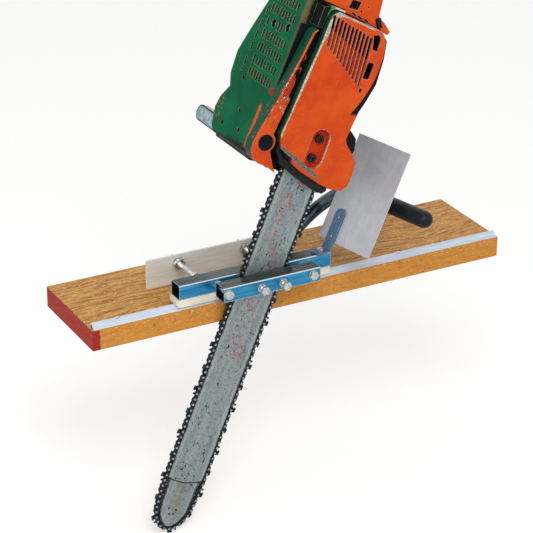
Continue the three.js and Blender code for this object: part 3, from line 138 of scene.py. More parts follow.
def root(value):
    return calc("SQRT", value)


def most(first, *others):
    for other in others:
        first = calc("MAXIMUM", first, other)
    return first


def stretched(vector, factors):
    return put("ShaderNodeVectorMath", {0: vector, 1: factors}, operation="MULTIPLY")


def noise(vector, scale, detail=3.0, rough=0.55, factors=None):
    if factors:
        vector = stretched(vector, factors)
    return put("ShaderNodeTexNoise", {"Vector": vector, "Scale": scale, "Detail": detail, "Roughness": rough})


def span(value, low, high, start=0.0, end=1.0):  # smooth step from low to high
    return put("ShaderNodeMapRange", {0: value, 1: low, 2: high, 3: start, 4: end},
        interpolation_type="SMOOTHSTEP")


def within(value, low, high, soft):  # 1 between low and high
    return span(value, low - soft, low + soft) * span(value, high + soft, high - soft)


def tint(factor, first, second):
    return put("ShaderNodeMix", {0: factor, 6: first, 7: second}, 2, data_type="RGBA")


def xyz(x, y, z):
    return put("ShaderNodeCombineXYZ", {0: x, 1: y, 2: z})


def axesOf(vector):
    outputs = put("ShaderNodeSeparateXYZ", {0: vector}).socket.node.outputs
    return [Wire(socket) for socket in outputs]


def shade(red, green, blue):  # colour as seen on screen, 0 to 255
    def linear(value):
        value /= 255
        return value / 12.92 if value <= 0.04045 else ((value + 0.055) / 1.055) ** 2.4
    return (linear(red), linear(green), linear(blue), 1.0)


def shades(look):
    return SimpleNamespace(**{key: shade(*value) for key, value in look.items()})


def startGroup(name, kind, inputs, *outputs):
    # A number is an input's default, a word its kind
    global tree
    groups[name] = tree = bpy.data.node_groups.new(name, kind + "NodeTree")
    for label, value in inputs.items():
        word = value if isinstance(value, str) else "Int" if isinstance(value, int) else "Float"
        socket = tree.interface.new_socket(label, in_out="INPUT", socket_type="NodeSocket" + word)
        if value is not word:
            socket.default_value = value
    word = "Geometry" if kind == "Geometry" else "Float"
    for label in outputs:
        tree.interface.new_socket(label, in_out="OUTPUT", socket_type="NodeSocket" + word)
    tree.nodes.new("NodeGroupOutput")
    return {socket.name: Wire(socket) for socket in tree.nodes.new("NodeGroupInput").outputs}


def finishGroup(**results):
    for label, value in results.items():
        feed(tree.nodes["Group Output"].inputs[label], value)


def makeWornEdge():
    given = startGroup("wornEdge", "Shader", {"Place": "Vector", "Radius": 0.0015, "Grain": 0.35,
        "Reach": 0.5}, "Mask")
    rounded = put("ShaderNodeBevel", {"Radius": given["Radius"]}, samples=6)
    surface = put("ShaderNodeNewGeometry", output="Normal")
    facing = put("ShaderNodeVectorMath", {0: rounded, 1: surface}, "Value", operation="DOT_PRODUCT")
    edge = span(1.0 - facing, 0.02, 0.25)
    level = edge * 0.9 + noise(given["Place"], given["Grain"], 4.0, 0.65) * 0.9
    limit = 1.35 - given["Reach"] * 0.7
    finishGroup(Mask=span(level, limit, limit + 0.12) * span(edge, 0.02, 0.2))


def makeBlotches():
    given = startGroup("blotches", "Shader", {"Place": "Vector", "Scale": 0.05, "Cover": 0.5}, "Mask")
    coarse = noise(given["Place"], given["Scale"], 5.0, 0.6)
    fine = noise(given["Place"], given["Scale"] * 7.3, 3.0, 0.6)
    limit = 0.78 - given["Cover"] * 0.5
    finishGroup(Mask=span(coarse * 0.7 + fine * 0.3, limit, limit + 0.14))


def makeScratches():
    given = startGroup("scratches", "Shader", {"Place": "Vector", "Scale": 0.2, "Cover": 0.3}, "Mask")
    masks = []
    for turn, factors in ((0.35, (1.0, 1.0, 0.05)), (-0.9, (0.06, 1.0, 1.0))):
        turned = put("ShaderNodeMapping", {"Vector": given["Place"], "Rotation": (0.0, turn, 0.0),
            "Scale": factors})
        lines = noise(turned, given["Scale"], 5.0, 0.7)
        patch = noise(given["Place"], given["Scale"] * 0.17, 2.0)
        limit = 0.86 - given["Cover"] * 0.3
        masks.append(span(lines * 0.8 + patch * 0.3, limit, limit + 0.05))
    finishGroup(Mask=most(*masks))


def makeGrainSkin():
    given = startGroup("grainSkin", "Shader", {"Place": "Vector", "Scale": 0.8, "Pits": 0.3}, "Height")
    fine = noise(given["Place"], given["Scale"], 4.0, 0.6)
    cells = put("ShaderNodeTexVoronoi", {"Vector": given["Place"], "Scale": given["Scale"] * 1.4}, "Distance")
    finishGroup(Height=fine + cells * given["Pits"])


def makeBrushed():
    given = startGroup("brushed", "Shader", {"Place": "Vector", "Scale": 1.0}, "Streak", "Height")
    wide = noise(given["Place"], given["Scale"] * 0.25, 2.0, 0.5)
    lines = noise(given["Place"], given["Scale"], 4.0, 0.7)
    finishGroup(Streak=wide * 0.5 + lines * 0.5, Height=lines)


makeWornEdge()
makeBlotches()
makeScratches()
makeGrainSkin()
makeBrushed()


def effect(name, place, output=0, **values):
    return put("ShaderNodeGroup", {"Place": place, **values}, output, node_tree=groups[name])


def blotches(place, scale, cover):
    return effect("blotches", place, Scale=scale, Cover=cover)


def scratches(place, scale, cover):
    return effect("scratches", place, Scale=scale, Cover=cover)


def wornEdge(place, radius, grain, reach):
    return effect("wornEdge", place, Radius=radius * mm, Grain=grain, Reach=reach)


def layered(colour, *layers):  # lays each (mask, colour) over what is there
    for mask, over in layers:
        colour = tint(mask, colour, over)
    return colour


def setShader(values):
    for key, value in values.items():
        feed(tree.nodes["Principled BSDF"].inputs[key], value)


def startMaterial(name, inSawFrame=False, metallic=0, roughness=0.5, specular=0.3):
    # Gives the place in millimetres, from the crankshaft where it is in the saw's frame
    global tree
    finishes[name] = material = bpy.data.materials.new(name)
    material.use_nodes = True
    tree = material.node_tree
    setShader({"Metallic": metallic, "Roughness": roughness, "Specular IOR Level": specular})
    mapping = {"Vector": put("ShaderNodeTexCoord", output="Object"), "Scale": (1 / mm, 1 / mm, 1 / mm)}
    if inSawFrame:
        mapping["Rotation"] = (0, -sawLean, 0)
        mapping["Location"] = -(Matrix.Rotation(-sawLean, 3, "Y") @ crank) / mm
    return put("ShaderNodeMapping", mapping)


def finishMaterial(colour, roughness, height, depth, metallic=None):
    values = {"Base Color": colour, "Roughness": roughness}
    if metallic:
        values["Metallic"] = metallic
    setShader(values)
    setShader({"Normal": put("ShaderNodeBump", {"Height": height, "Strength": depth, "Distance": mm})})


def normalOf(inSawFrame=False):
    normal = put("ShaderNodeTexCoord", output="Normal")
    if inSawFrame:
        normal = put("ShaderNodeVectorRotate", {"Vector": normal, "Angle": -sawLean}, rotation_type="Y_AXIS")
    return axesOf(normal)


boardLook = {"light": (212, 160, 84), "middle": (186, 122, 50), "dark": (104, 58, 24), "front": (208, 138, 46),
    "fleck": (236, 208, 146), "knot": (98, 42, 18), "endPaint": (158, 28, 18), "rings": (196, 142, 76)}
boardShape = {"heartBelow": 60, "paintReach": 9, "paintRagged": 8}


def makeBoardWood():
    look = shades(boardLook)
    shape = SimpleNamespace(**boardShape)
    place = startMaterial("boardWood", roughness=0.6)
    x, y, z = axesOf(place)
    low, high = (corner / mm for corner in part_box("guide_board"))
    sway = noise(place, 0.006, 2, 0.5)
    shift = xyz(0, sway * 60, sway * 24)
    bent = put("ShaderNodeVectorMath", {0: place, 1: shift}, operation="ADD")
    bands = noise(bent, 0.2, 4, 0.65, (0.07, 1, 1))
    fibre = noise(bent, 0.9, 5, 0.75, (0.05, 1, 1))
    flecks = noise(place, 0.42, 3, 0.6, (0.35, 1, 1)) + span(z, high.z - 16, high.z - 3, 0, 0.05)
    specks = span(noise(place, 0.2, 2, 0.6, (0.7, 1, 1)), 0.66, 0.71)
    knots = put("ShaderNodeTexVoronoi", {"Vector": place, "Scale": 0.03}, "Distance")
    frontWood = layered(look.front,
        (span(noise(place, 0.16, 4, 0.7, (0.3, 1, 1)), 0.4, 0.7), look.middle),
        (span(flecks, 0.6, 0.7) * 0.6, look.fleck),
        (specks * 0.7, look.dark),
        (span(knots, 0.07, 0.03), look.knot))
    radius = root(y * y + (z + shape.heartBelow) ** 2)
    rings = calc("SINE", radius * 1.5 + noise(place, 0.08) * 6)
    paintEdge = low.x + shape.paintReach + noise(place, 0.3, 4) * shape.paintRagged
    painted = span(x - paintEdge, 0.5, -0.5) * (1 - blotches(place, 0.25, 0.42))
    painted = painted * span(z, high.z - 0.4, high.z - 1.4)
    colour = layered(look.middle,
        (span(bands, 0.36, 0.62), look.light),
        (span(bands, 0.5, 0.34) * 0.45, look.dark),
        (span(fibre, 0.48, 0.66), look.dark),
        (span(flecks, 0.62, 0.74) * 0.75, look.fleck),
        (span(y, low.y + 1.2, low.y + 0.2) * 0.85, frontWood),
        (span(abs(x), high.x - 0.9, high.x - 0.3), tint(span(rings, -0.2, 0.9), look.rings, look.dark)),
        (painted, look.endPaint),
        (blotches(place, 0.02, 0.35) * 0.25, look.dark))
    finishMaterial(colour, span(fibre, 0.3, 0.7, 0.5, 0.7), fibre, 0.5)


sheetLook = {"dirt": (60, 58, 55), "scratch": (235, 238, 240), "bore": (18, 24, 26)}
steelLook = {"dirt": (50, 46, 40), "edge": (232, 234, 236)}


def makeSheetMetal(name, light, dark, metallic, roughness, factors, scale=0.9, dirtShare=0.25, edgeRadius=1,
        topReflection=None, shadedBoreOf=()):
    look = shades(sheetLook)
    light, dark = shade(*light), shade(*dark)
    place = startMaterial(name, False, metallic)
    streaked = stretched(place, factors)
    streak = effect("brushed", streaked, 0, Scale=scale)
    cloud = noise(place, 0.03, 4, 0.6)
    colour = layered(dark, (span(streak, 0.3, 0.7), light), (span(cloud, 0.3, 0.8, 0, 0.35), dark))
    if topReflection:  # painted reflection: the upward faces are painted darker grey for the sky they reflect
        settled = tint(span(streak, 0.38, 0.62), *[shade(*value) for value in topReflection])
        colour = tint(span(normalOf()[2], 0.5, 0.9), colour, settled)
    dirt = blotches(place, 0.07, 0.35) * dirtShare
    worn = most(scratches(place, 0.5, 0.35) * 0.5, wornEdge(place, edgeRadius, 0.3, 0.85) * 0.8)
    colour = layered(colour, (dirt, look.dirt), (worn, look.scratch))
    for node in shadedBoreOf:  # painted shade: the inside of a square tube is painted dark
        low, high = (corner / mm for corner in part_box(node))
        middle, half = (low + high) / 2, (high - low) / 2
        _, y, z = axesOf(place)
        bore = within(y, low.y + 1, high.y - 1, 0.2) * within(z, low.z + 1, high.z - 1, 0.2)
        toSide = half.y - abs(y - middle.y)
        toTop = half.z - abs(z - middle.z)
        # painted highlight: a pale line along the tube's rounded long edges
        corner = span(most(toSide, toTop) + streak * 1.5, 2.8, 2.2) * span(toSide + toTop, -0.5, -0.2)
        colour = layered(colour, (bore * 0.9, look.bore), (corner * 0.75, look.scratch))
    rough = span(streak, 0.3, 0.7, roughness - 0.06, roughness + 0.08) + dirt * 0.6
    finishMaterial(colour, rough, effect("brushed", streaked, 1, Scale=scale), 0.12)


def makeSteel(name, light, dark, metallic, roughness, scale=0.35, dirtColour=steelLook["dirt"], dirtShare=0.35,
        edge=steelLook["edge"], edgeShare=0.6):
    place = startMaterial(name, False, metallic)
    cloud = noise(place, scale, 5, 0.65)
    dirt = blotches(place, 0.3, 0.4) * dirtShare
    colour = layered(shade(*dark),
        (span(cloud, 0.35, 0.65), shade(*light)),
        (dirt, shade(*dirtColour)),
        (wornEdge(place, 0.6, 0.8, 0.6) * edgeShare, shade(*edge)))
    rough = span(cloud, 0.3, 0.7, roughness - 0.05, roughness + 0.1) + dirt * 0.8
    finishMaterial(colour, rough, cloud, 0.15)


barLook = {"light": (158, 170, 170), "dark": (122, 136, 138), "stain": (50, 46, 36), "paint": (186, 40, 58),
    "ink": (20, 24, 26), "brown": (130, 124, 92), "rub": (196, 200, 186)}
barShape = {"halfWide": 32.5, "noseHalf": 28.3, "seam": -655, "sag": 5.5, "noseStart": -695, "noseRound": 46,
    "paintHalf": 17, "foot": -455, "top": -60, "dotsFoot": -685, "dotsTop": -20}


def makeBarSteel():
    place = startMaterial("barSteel", True, 0.7)
    look = shades(barLook)
    shape = SimpleNamespace(**barShape)
    x, y, z = axesOf(place)
    streak = effect("brushed", stretched(place, (1, 1, 0.12)), 0, Scale=0.5)
    mottle = noise(place, 0.28, 4, 0.75)
    brown = blotches(place, 0.035, 0.5)
    # How far a place is from the bar's edge, also round the nose
    below = most(shape.noseStart - z, 0)
    fall = (below * (1 / shape.noseRound)) ** 2
    noseHalf = root(most(1 - fall, 0)) * shape.noseHalf
    onNose = span(z, shape.seam + 1, shape.seam - 1)
    half = shape.halfWide + onNose * (noseHalf - shape.halfWide)
    toEdge = half - (abs(x) + noise(place, 0.12, 4) * 7)
    gold = onNose * span(toEdge, 8, 18) * span(noise(place, 0.06), 0.42, 0.6)
    red = span(noise(place, 0.3, 3, 0.75, (1, 1, 0.7)), 0.53, 0.59) * span(noise(place, 0.05, 2), 0.47, 0.57)
    red = red * span(abs(x), shape.paintHalf + 4, shape.paintHalf - 4)
    red = red * within(z, shape.foot, shape.top, 10)
    dots = span(noise(place, 0.27, 2, 0.7, (1, 1, 0.6)), 0.62, 0.64) * span(noise(place, 0.03, 2), 0.42, 0.52)
    dots = dots * within(z, shape.dotsFoot, shape.dotsTop, 20)
    dots = dots * span(abs(x), shape.halfWide - 3, shape.halfWide - 6)
    sag = (1 - x * x * (1 / shape.halfWide ** 2)) * shape.sag
    fromSeam = abs(z - shape.seam + sag + mottle * 1.2)
    colour = layered(look.dark,
        (span(streak * 0.4 + mottle * 0.6, 0.38, 0.6), look.light),
        (brown * 0.35, look.brown),
        (within(toEdge, -2.5, 2.5, 1) * 0.3, look.rub),
        (span(toEdge + onNose * -2.5, -1, -4) * 0.85, look.stain),
        (gold * 0.5, look.brown),
        (red * 0.9, look.paint),
        (dots, look.ink),
        (scratches(place, 0.35, 0.4) * 0.5, look.rub),
        (span(fromSeam, 1.3, 0.7), look.ink),
        (wornEdge(place, 1.2, 0.2, 0.8) * 0.6, look.rub))
    rough = span(mottle, 0.3, 0.7, 0.36, 0.5) + brown * 0.15
    finishMaterial(colour, rough, mottle, 0.12, (1 - most(red, dots)) * 0.7)


def paintBase(place, light, dark):
    patchy = span(noise(place, 0.02, 5, 0.6), 0.3, 0.7)
    return layered(dark, (patchy, light), (blotches(place, 0.09, 0.4) * 0.3, light))


def paintTop(place, look, colour, worn, bare, bareMetal=0.5, scratchCover=0.3):
    dirt = blotches(place, 0.05, 0.3)
    scratch = scratches(place, 0.3, scratchCover)
    colour = layered(colour,
        (dirt * 0.28, look.dirt),
        (span(noise(place, 0.5, 3, 0.6), 0.7, 0.74) * 0.7, look.dirt),
        (scratch * 0.65, look.scratch),
        (worn, bare))
    skin = effect("grainSkin", place, Scale=0.6, Pits=0.2) * 0.12
    finishMaterial(colour, 0.38 + dirt * 0.25 + scratch * 0.2, skin - worn, 0.25, worn * bareMetal)


orangeLook = {"light": (216, 84, 22), "dark": (198, 62, 18), "inner": (196, 54, 24), "slot": (112, 26, 16),
    "scratch": (236, 156, 104), "dirt": (86, 36, 22), "bare": (150, 152, 142), "grey": (124, 132, 118),
    "green": (14, 74, 52), "pale": (222, 214, 194), "grime": (34, 32, 28), "channel": (12, 15, 17),
    "red": (204, 58, 34)}
coverShape = {"face": -24, "side": -21.4, "left": -69, "leftLean": -0.064, "foot": -84, "footFrom": -67,
    "footLean": 0.405, "footShare": 0.927, "top": 140, "topFrom": -51, "topLean": 0.132, "slots": (28, 31.5),
    "slotLean": 0.05, "channel": (-11, -9), "wallFade": (-17, -8), "bulge": (54, 72, 0.00344),
    "trimFrom": (-10, -4), "rimEnd": (26, 8), "rimTopEnd": (26, 16), "pocket": (-2, 16, -88, -57),
    "pocketSide": (26, 30), "footEnd": (-34, -44)}


def makeCoverPaint():
    look = shades(orangeLook)
    shape = SimpleNamespace(**coverShape)
    place = startMaterial("coverPaint", True, specular=0.12)
    x, y, z = axesOf(place)
    grit = noise(place, 0.22, 5, 0.7)
    fromLeft = x + z * shape.leftLean - shape.left
    fromFoot = (z - shape.foot + (x - shape.footFrom) * shape.footLean) * shape.footShare
    fromTop = shape.top - (z + (x - shape.topFrom) * shape.topLean)
    # Painted shade: surfaces set back from the face are painted darker red, the slots dark red, and the deepest
    # parts near black
    inside = span(y, shape.face + 2.8, shape.face + 3.4) * span(fromLeft, 2, 4)
    lowSlot, rightSlot = shape.slots
    fromRight = x + z * shape.slotLean - rightSlot
    inSlots = inside * span(z, lowSlot - 1, lowSlot + 1) * span(fromRight, 5, 4)
    # the left side wall is green, with painted shade turning it black deeper in
    leftWall = span(fromLeft, 14, 10) * span(normalOf(True)[0], -0.35, -0.6)
    leftWall = leftWall * span(y, shape.side - 0.6, shape.side + 0.4)
    # Painted shade: the bulged right side and the left foot are painted near black
    right, bulgeMiddle, bend = shape.bulge
    fromBulge = z - bulgeMiddle
    edgeShade = span(x + fromBulge * fromBulge * bend - right, -0.4, 0.4) * span(z, *shape.trimFrom)
    edgeShade = most(edgeShade, span(fromFoot + grit * 4, 1.5, 0) * span(x, *shape.footEnd))
    # The worn rim is narrow low down and wide at the top left corner
    thin = fromLeft + grit * 5 + span(z, 60, -60, 0, 1.3) + span(z, 86, 124, 0, -6.5)
    rimFoot = span(fromFoot + grit * 13, 12, 9.5) * span(x, *shape.rimEnd) * span(fromFoot, -4, -1)
    high = fromTop + grit * 5 + span(x, -34, -56, 0, -4.5)
    rimTop = span(high, 6.4, 5) * span(x, *shape.rimTopEnd)
    middle, half, low, high = shape.pocket
    past = most(z - high, low - z, 0)
    across = x - middle
    fromPocket = root(across * across + past * past) - half + grit * 2 - 1
    rimPocket = within(fromPocket, -0.8, 1.3, 0.5) * span(across + z * -0.3, *shape.pocketSide)
    rim = most(span(thin, 5.6, 4.4), rimFoot, rimTop, rimPocket) * span(y, shape.side, shape.side - 0.8)
    lowPart = span(fromFoot, 13, 8)
    bare = layered(look.bare,
        (span(noise(place, 0.5, 4, 0.7), 0.42, 0.6), look.pale),
        (lowPart * 0.9, look.grey),
        (lowPart * span(noise(place, 0.42, 5, 0.8), 0.56, 0.44) * 0.8, look.grime))
    colour = layered(paintBase(place, look.light, look.dark),
        (inside * 0.7, look.inner),
        (inSlots * 0.85, look.slot),
        (span(y, *shape.channel) * inside, look.channel),
        (leftWall, tint(span(y, *shape.wallFade), look.green, look.channel)),
        (span(noise(place, 0.3, 4, 0.75), 0.66, 0.69) * 0.6, look.scratch),
        (edgeShade, look.channel))
    worn = most(wornEdge(place, 2.2, 0.22, 0.5), rim) * (1 - edgeShade)
    paintTop(place, look, colour, worn, bare, 0.5, 0.55)


housingShape = {"gutter": (-14.6, -13.6), "gutterFade": (64, -2), "smear": (-34, 6), "flakes": (-52, 16),
    "chips": (-38, 40), "chipsAbove": (-9.4, -10.4), "wallFrom": (-14.4, -13.4), "reach": 0.8}
rearShape = {"deep": (-11.2, -4.5), "wide": (-33, 14), "high": (133, 163), "lit": (133, 137.5),
    "backFrom": (139, 142)}


def makeOrangePaint(name="orangePaint", part=None):
    look = shades(orangeLook)
    place = startMaterial(name, True, specular=0.12)
    x, y, z = axesOf(place)
    colour = paintBase(place, look.light, look.dark)
    reach = 0.6
    if part == "housing":  # the gutter is black above and red below
        shape = SimpleNamespace(**housingShape)
        inGutter = span(y, *shape.gutter)
        bare = span(noise(place, 0.09, 5, 0.7) + span(z, *shape.gutterFade, 0, 0.34), 0.72, 0.66)
        flakes = span(noise(place, 0.15, 4, 0.75, (1, 1, 0.5)), 0.56, 0.59) * within(z, *shape.flakes, 14)
        chips = span(noise(place, 0.3, 4, 0.7, (1, 1, 0.6)), 0.58, 0.62) * within(z, *shape.chips, 12)
        wall = span(normalOf(True)[0], -0.3, -0.6) * span(y, *shape.wallFrom)
        colour = layered(colour,
            (inGutter * bare, look.channel),
            (inGutter * (1 - bare) * 0.6, look.red),
            (blotches(place, 0.12, 0.52) * within(z, *shape.smear, 10) * 0.85, look.grime),
            (flakes * 0.9, look.green),
            (chips * span(y, *shape.chipsAbove), look.pale),
            (wall * span(noise(place, 0.12, 4, 0.65), 0.35, 0.4), look.green))
        reach = shape.reach
    if part == "rear":  # painted shade: the openings in the block's front are painted black, half as dark at their lit lower edge
        shape = SimpleNamespace(**rearShape)
        inner = within(y, *shape.deep, 0.3) * within(x, *shape.wide, 0.5) * within(z, *shape.high, 0.5)
        inner = inner * span(z, *shape.lit, 0.5, 1)
        flat = span(abs(normalOf(True)[2]), 1.2, 0.2)
        colour = tint(most(inner * flat, inner * span(z, *shape.backFrom)), colour, look.channel)
    bare = tint(noise(place, 0.4), look.bare, look.pale)
    paintTop(place, look, colour, wornEdge(place, 1.8, 0.25, reach), bare)


greenLook = {"light": (4, 102, 62), "dark": (0, 80, 50), "under": (222, 78, 34), "slotWall": (206, 150, 108),
    "slotLow": (70, 120, 84), "soot": (38, 36, 42), "scratch": (70, 160, 110), "dirt": (8, 50, 36),
    "patch": (150, 44, 36), "brown": (104, 92, 62), "deep": (26, 28, 24), "pale": (214, 214, 196),
    "leaf": (70, 136, 94), "bare": (198, 190, 168)}
greenShape = {"face": -92, "front": 8, "stripeMiddle": 28, "stripeLean": 0.05, "stripeSpan": (-108, -38),
    "stripeSide": (-76, -84), "patchMiddle": (-90, 10, -11), "patchReach": (12, 14, 6.8), "sootTop": -104,
    "sootLean": 0.11, "grimeSide": (-40, -50), "grimeFoot": (-12, 2), "brownTo": (-82, -76),
    "flange": (-64, -55, 100), "flangeFrom": (5.9, 5.4), "slotFade": (40, 90), "slotFoot": (12, 2),
    "spotsFrom": (128, 138), "spots": (-96, -58)}


def makeGreenPaint():
    look = shades(greenLook)
    shape = SimpleNamespace(**greenShape)
    place = startMaterial("greenPaint", True, specular=0.05)
    x, y, z = axesOf(place)
    grit = noise(place, 0.14, 4, 0.65)
    grimy = span(y, shape.front + 7, shape.front + 1) * span(x, *shape.grimeSide)
    grimy = grimy * span(z, *shape.grimeFoot) * span(grit, 0.3, 0.5, 0.55, 1)
    # Painted highlight: a lighter green band across the flange, near black before it and pale after it
    first, last, low = shape.flange
    wave = x + grit * 9 - 4.5
    flangeHighlight = layered(look.deep, (span(wave, first - 1.5, first + 1.5), look.leaf),
        (span(wave, last - 2, last + 2), look.pale))
    # Darker towards the bottom edge: a near-black band along the lid's foot
    soot = z + grit * 14 + y * shape.sootLean - shape.sootTop
    wall = span(abs(normalOf(True)[0]), 0.35, 0.2) * within(x, shape.face + 0.3, shape.face + 2.8, 0.1)
    # painted shade: the slot walls are painted near black deeper in
    wallTint = layered(look.slotLow,
        (span(z + grit * 60, *shape.slotFade), look.slotWall),
        (span(z, *shape.slotFoot), look.under),
        (span(x, shape.face + 0.5, shape.face + 0.9), look.deep))
    fromLine = y - (shape.stripeMiddle - z * shape.stripeLean)
    stripe = within(fromLine + grit * 9 - 4.5, -3.2, 3.6, 0.5)
    stripe = stripe * within(z, *shape.stripeSpan, 3) * span(x, *shape.stripeSide)
    reach = grit * 0.4
    for axis, middle, radius in zip((x, y, z), shape.patchMiddle, shape.patchReach):
        away = (axis - middle) * (1 / radius)
        reach = reach + away * away
    spots = span(noise(place, 0.25, 2), 0.6, 0.64) * span(y, *shape.spotsFrom) * within(z, *shape.spots, 6)
    colour = layered(paintBase(place, look.light, look.dark),
        (grimy, tint(span(x + grit * 8, *shape.brownTo), look.brown, look.deep)),
        (span(y, *shape.flangeFrom) * span(z, low - 2, low + 2), flangeHighlight),
        (span(soot, 13, 7) * 0.92, look.soot),
        (wall * 0.85, wallTint),
        (stripe, look.under),
        (span(reach, 1.2, 1.1) * 0.9, look.patch),
        (spots, look.under))
    bare = tint(span(noise(place, 0.3), 0.4, 0.6), look.scratch, look.bare)
    paintTop(place, look, colour, wornEdge(place, 1.6, 0.25, 0.36), bare, 0.2, 0.2)


darkEdge = (90, 92, 92)


def makeDark(name, colour, dust, roughness, grain=0.8, inSawFrame=True, depth=0.3, specular=0.1):
    place = startMaterial(name, inSawFrame, specular=specular)
    lighter = shade(*[value * 1.5 + 5 for value in colour])
    dusty = blotches(place, 0.12, 0.42) * 0.35
    colour = layered(shade(*colour),
        (span(noise(place, 0.06, 4), 0.35, 0.7), lighter),
        (dusty, shade(*dust)),
        (wornEdge(place, 1, 0.3, 0.55) * 0.6, shade(*darkEdge)))
    skin = effect("grainSkin", place, Scale=grain, Pits=0.4)
    finishMaterial(colour, roughness + dusty * 0.6, skin, depth)


caseLook = {"dark": (8, 12, 14), "light": (24, 28, 28), "oil": (78, 70, 54), "edge": (140, 140, 130)}


def makeCaseDark():
    look = shades(caseLook)
    place = startMaterial("caseDark", True, specular=0.1)
    brown = blotches(place, 0.06, 0.42)
    colour = layered(look.dark,
        (span(noise(place, 0.05, 4), 0.35, 0.7), look.light),
        (brown * 0.5, look.oil),
        (wornEdge(place, 1.4, 0.25, 0.55) * 0.75, look.edge))
    skin = effect("grainSkin", place, Scale=0.35, Pits=0.5)
    finishMaterial(colour, 0.5 + brown * 0.25, skin, 0.4)


outletLook = {"light": (172, 192, 198), "dark": (116, 142, 152), "line": (22, 34, 42), "cream": (214, 206, 186),
    "dust": (150, 144, 128), "end": (92, 84, 72)}
outletShape = {"roundFrom": 191, "middle": -106, "half": 13, "side": -88.5}


def makeOutletMetal():  # pale dented face with a dark edge, cream above it
    look = shades(outletLook)
    shape = SimpleNamespace(**outletShape)
    place = startMaterial("outletMetal", True, 0.3)
    x, y, z = axesOf(place)
    cloud = noise(place, 0.1, 5, 0.65)
    grit = noise(place, 0.3, 4, 0.7)
    past = most(y - shape.roundFrom, 0)
    up = z - shape.middle
    fromEdge = shape.half - root(past * past + up * up)
    wall = span(x, shape.side + 0.8, shape.side + 1.4) * span(fromEdge, 1.2, 0.8)
    colour = layered(look.dark,
        (span(cloud, 0.35, 0.65), look.light),
        (within(fromEdge, 3.6, 5, 0.6) * 0.6, look.dark),
        (span(fromEdge, 2.7, 1.7), look.line),
        (wall * span(up, 2, 6), tint(span(grit, 0.44, 0.6), look.cream, look.dust)),
        (wall * span(past + grit * 4, 9, 11), look.end))
    finishMaterial(colour, 0.4 + cloud * 0.2, cloud, 0.3)


# Colours light and dark, metallic, roughness, then how the brushing is stretched or how fine the clouds are
makeBoardWood()
makeSheetMetal("railMetal", (208, 218, 230), (180, 192, 206), 0.3, 0.42, (0.03, 1, 1))
# Painted reflection: the zinc tubes' blue stands for the sky they reflect
makeSheetMetal("zincPlate", (76, 166, 206), (10, 104, 156), 0.7, 0.28, (0.04, 1, 1), edgeRadius=1.8,
    topReflection=((34, 46, 46), (98, 108, 108)), shadedBoreOf=("front_tube", "rear_tube"))
makeSheetMetal("chromeTube", (96, 116, 122), (22, 36, 42), 0.9, 0.18, (1, 1, 1), 0.12)
makeSheetMetal("plateMetal", (232, 230, 222), (208, 206, 196), 0.1, 0.5, (0.05, 1, 1), dirtShare=0.12)
makeSheetMetal("sheetMetal", (194, 197, 202), (178, 180, 186), 0.3, 0.45, (0.5, 0.5, 0.08), dirtShare=0.12)
makeSheetMetal("bracketSteel", (96, 126, 156), (66, 92, 118), 0.5, 0.38, (0.3, 1, 0.2))
makeSteel("brightSteel", (222, 222, 216), (176, 178, 178), 0.9, 0.22)
makeSteel("washerSteel", (206, 208, 206), (160, 162, 162), 0.85, 0.3)
makeSteel("darkSteel", (44, 48, 46), (10, 14, 14), 0.6, 0.32, 0.3, edge=(196, 200, 190))
makeSteel("castMetal", (168, 170, 172), (126, 128, 130), 0.7, 0.5, 0.2)
makeOutletMetal()
makeSteel("exhaustSteel", (70, 56, 52), (40, 32, 30), 0.4, 0.6, 0.06, (150, 74, 44), 0.5)
makeBarSteel()
makeSteel("chainSteel", (46, 54, 58), (14, 20, 22), 0.6, 0.36, 0.2, (12, 14, 14), 0.6, (120, 132, 138), 0.4)
makeSteel("rivetSteel", (176, 192, 204), (116, 134, 148), 0.8, 0.25, 0.4)
makeCoverPaint()
makeOrangePaint()
makeOrangePaint("housingPaint", "housing")
makeOrangePaint("rearPaint", "rear")
makeGreenPaint()
makeCaseDark()
makeDark("rubber", (5, 11, 13), (44, 46, 44), 0.4, 0.6, False, 0.35, 0.25)
makeDark("blackPlastic", (6, 15, 17), (44, 44, 40), 0.42, 1.2)
makeSteel("nylon", (232, 226, 208), (214, 206, 186), 0, 0.5, 0.05, (120, 96, 60), 0.35)
print("materials", len(finishes))


def link(piece):
    bpy.context.scene.collection.objects.link(piece)
    return piece


def settle(piece, finish=None, sharpFrom=None):
    # Turns the piece with its modifiers into a plain mesh at the origin
    graph = bpy.context.evaluated_depsgraph_get()
    mesh = bpy.data.meshes.new_from_object(piece.evaluated_get(graph))
    mesh.name = name = piece.name
    piece.modifiers.clear()
    bpy.data.objects.remove(piece)
    settled = link(bpy.data.objects.new(name, mesh))
    if finish:
        mesh.materials.clear()
        mesh.materials.append(finishes[finish])
    if sharpFrom:
        mesh.shade_smooth()
        mesh.set_sharp_from_angle(angle=math.radians(sharpFrom))
    return settled


def attach(piece, node, *replaced):  # rides on the body of a CAD node, and hides the nodes it replaces
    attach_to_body(piece, bodyOf[node])
    if replaced:
        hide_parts(*replaced)


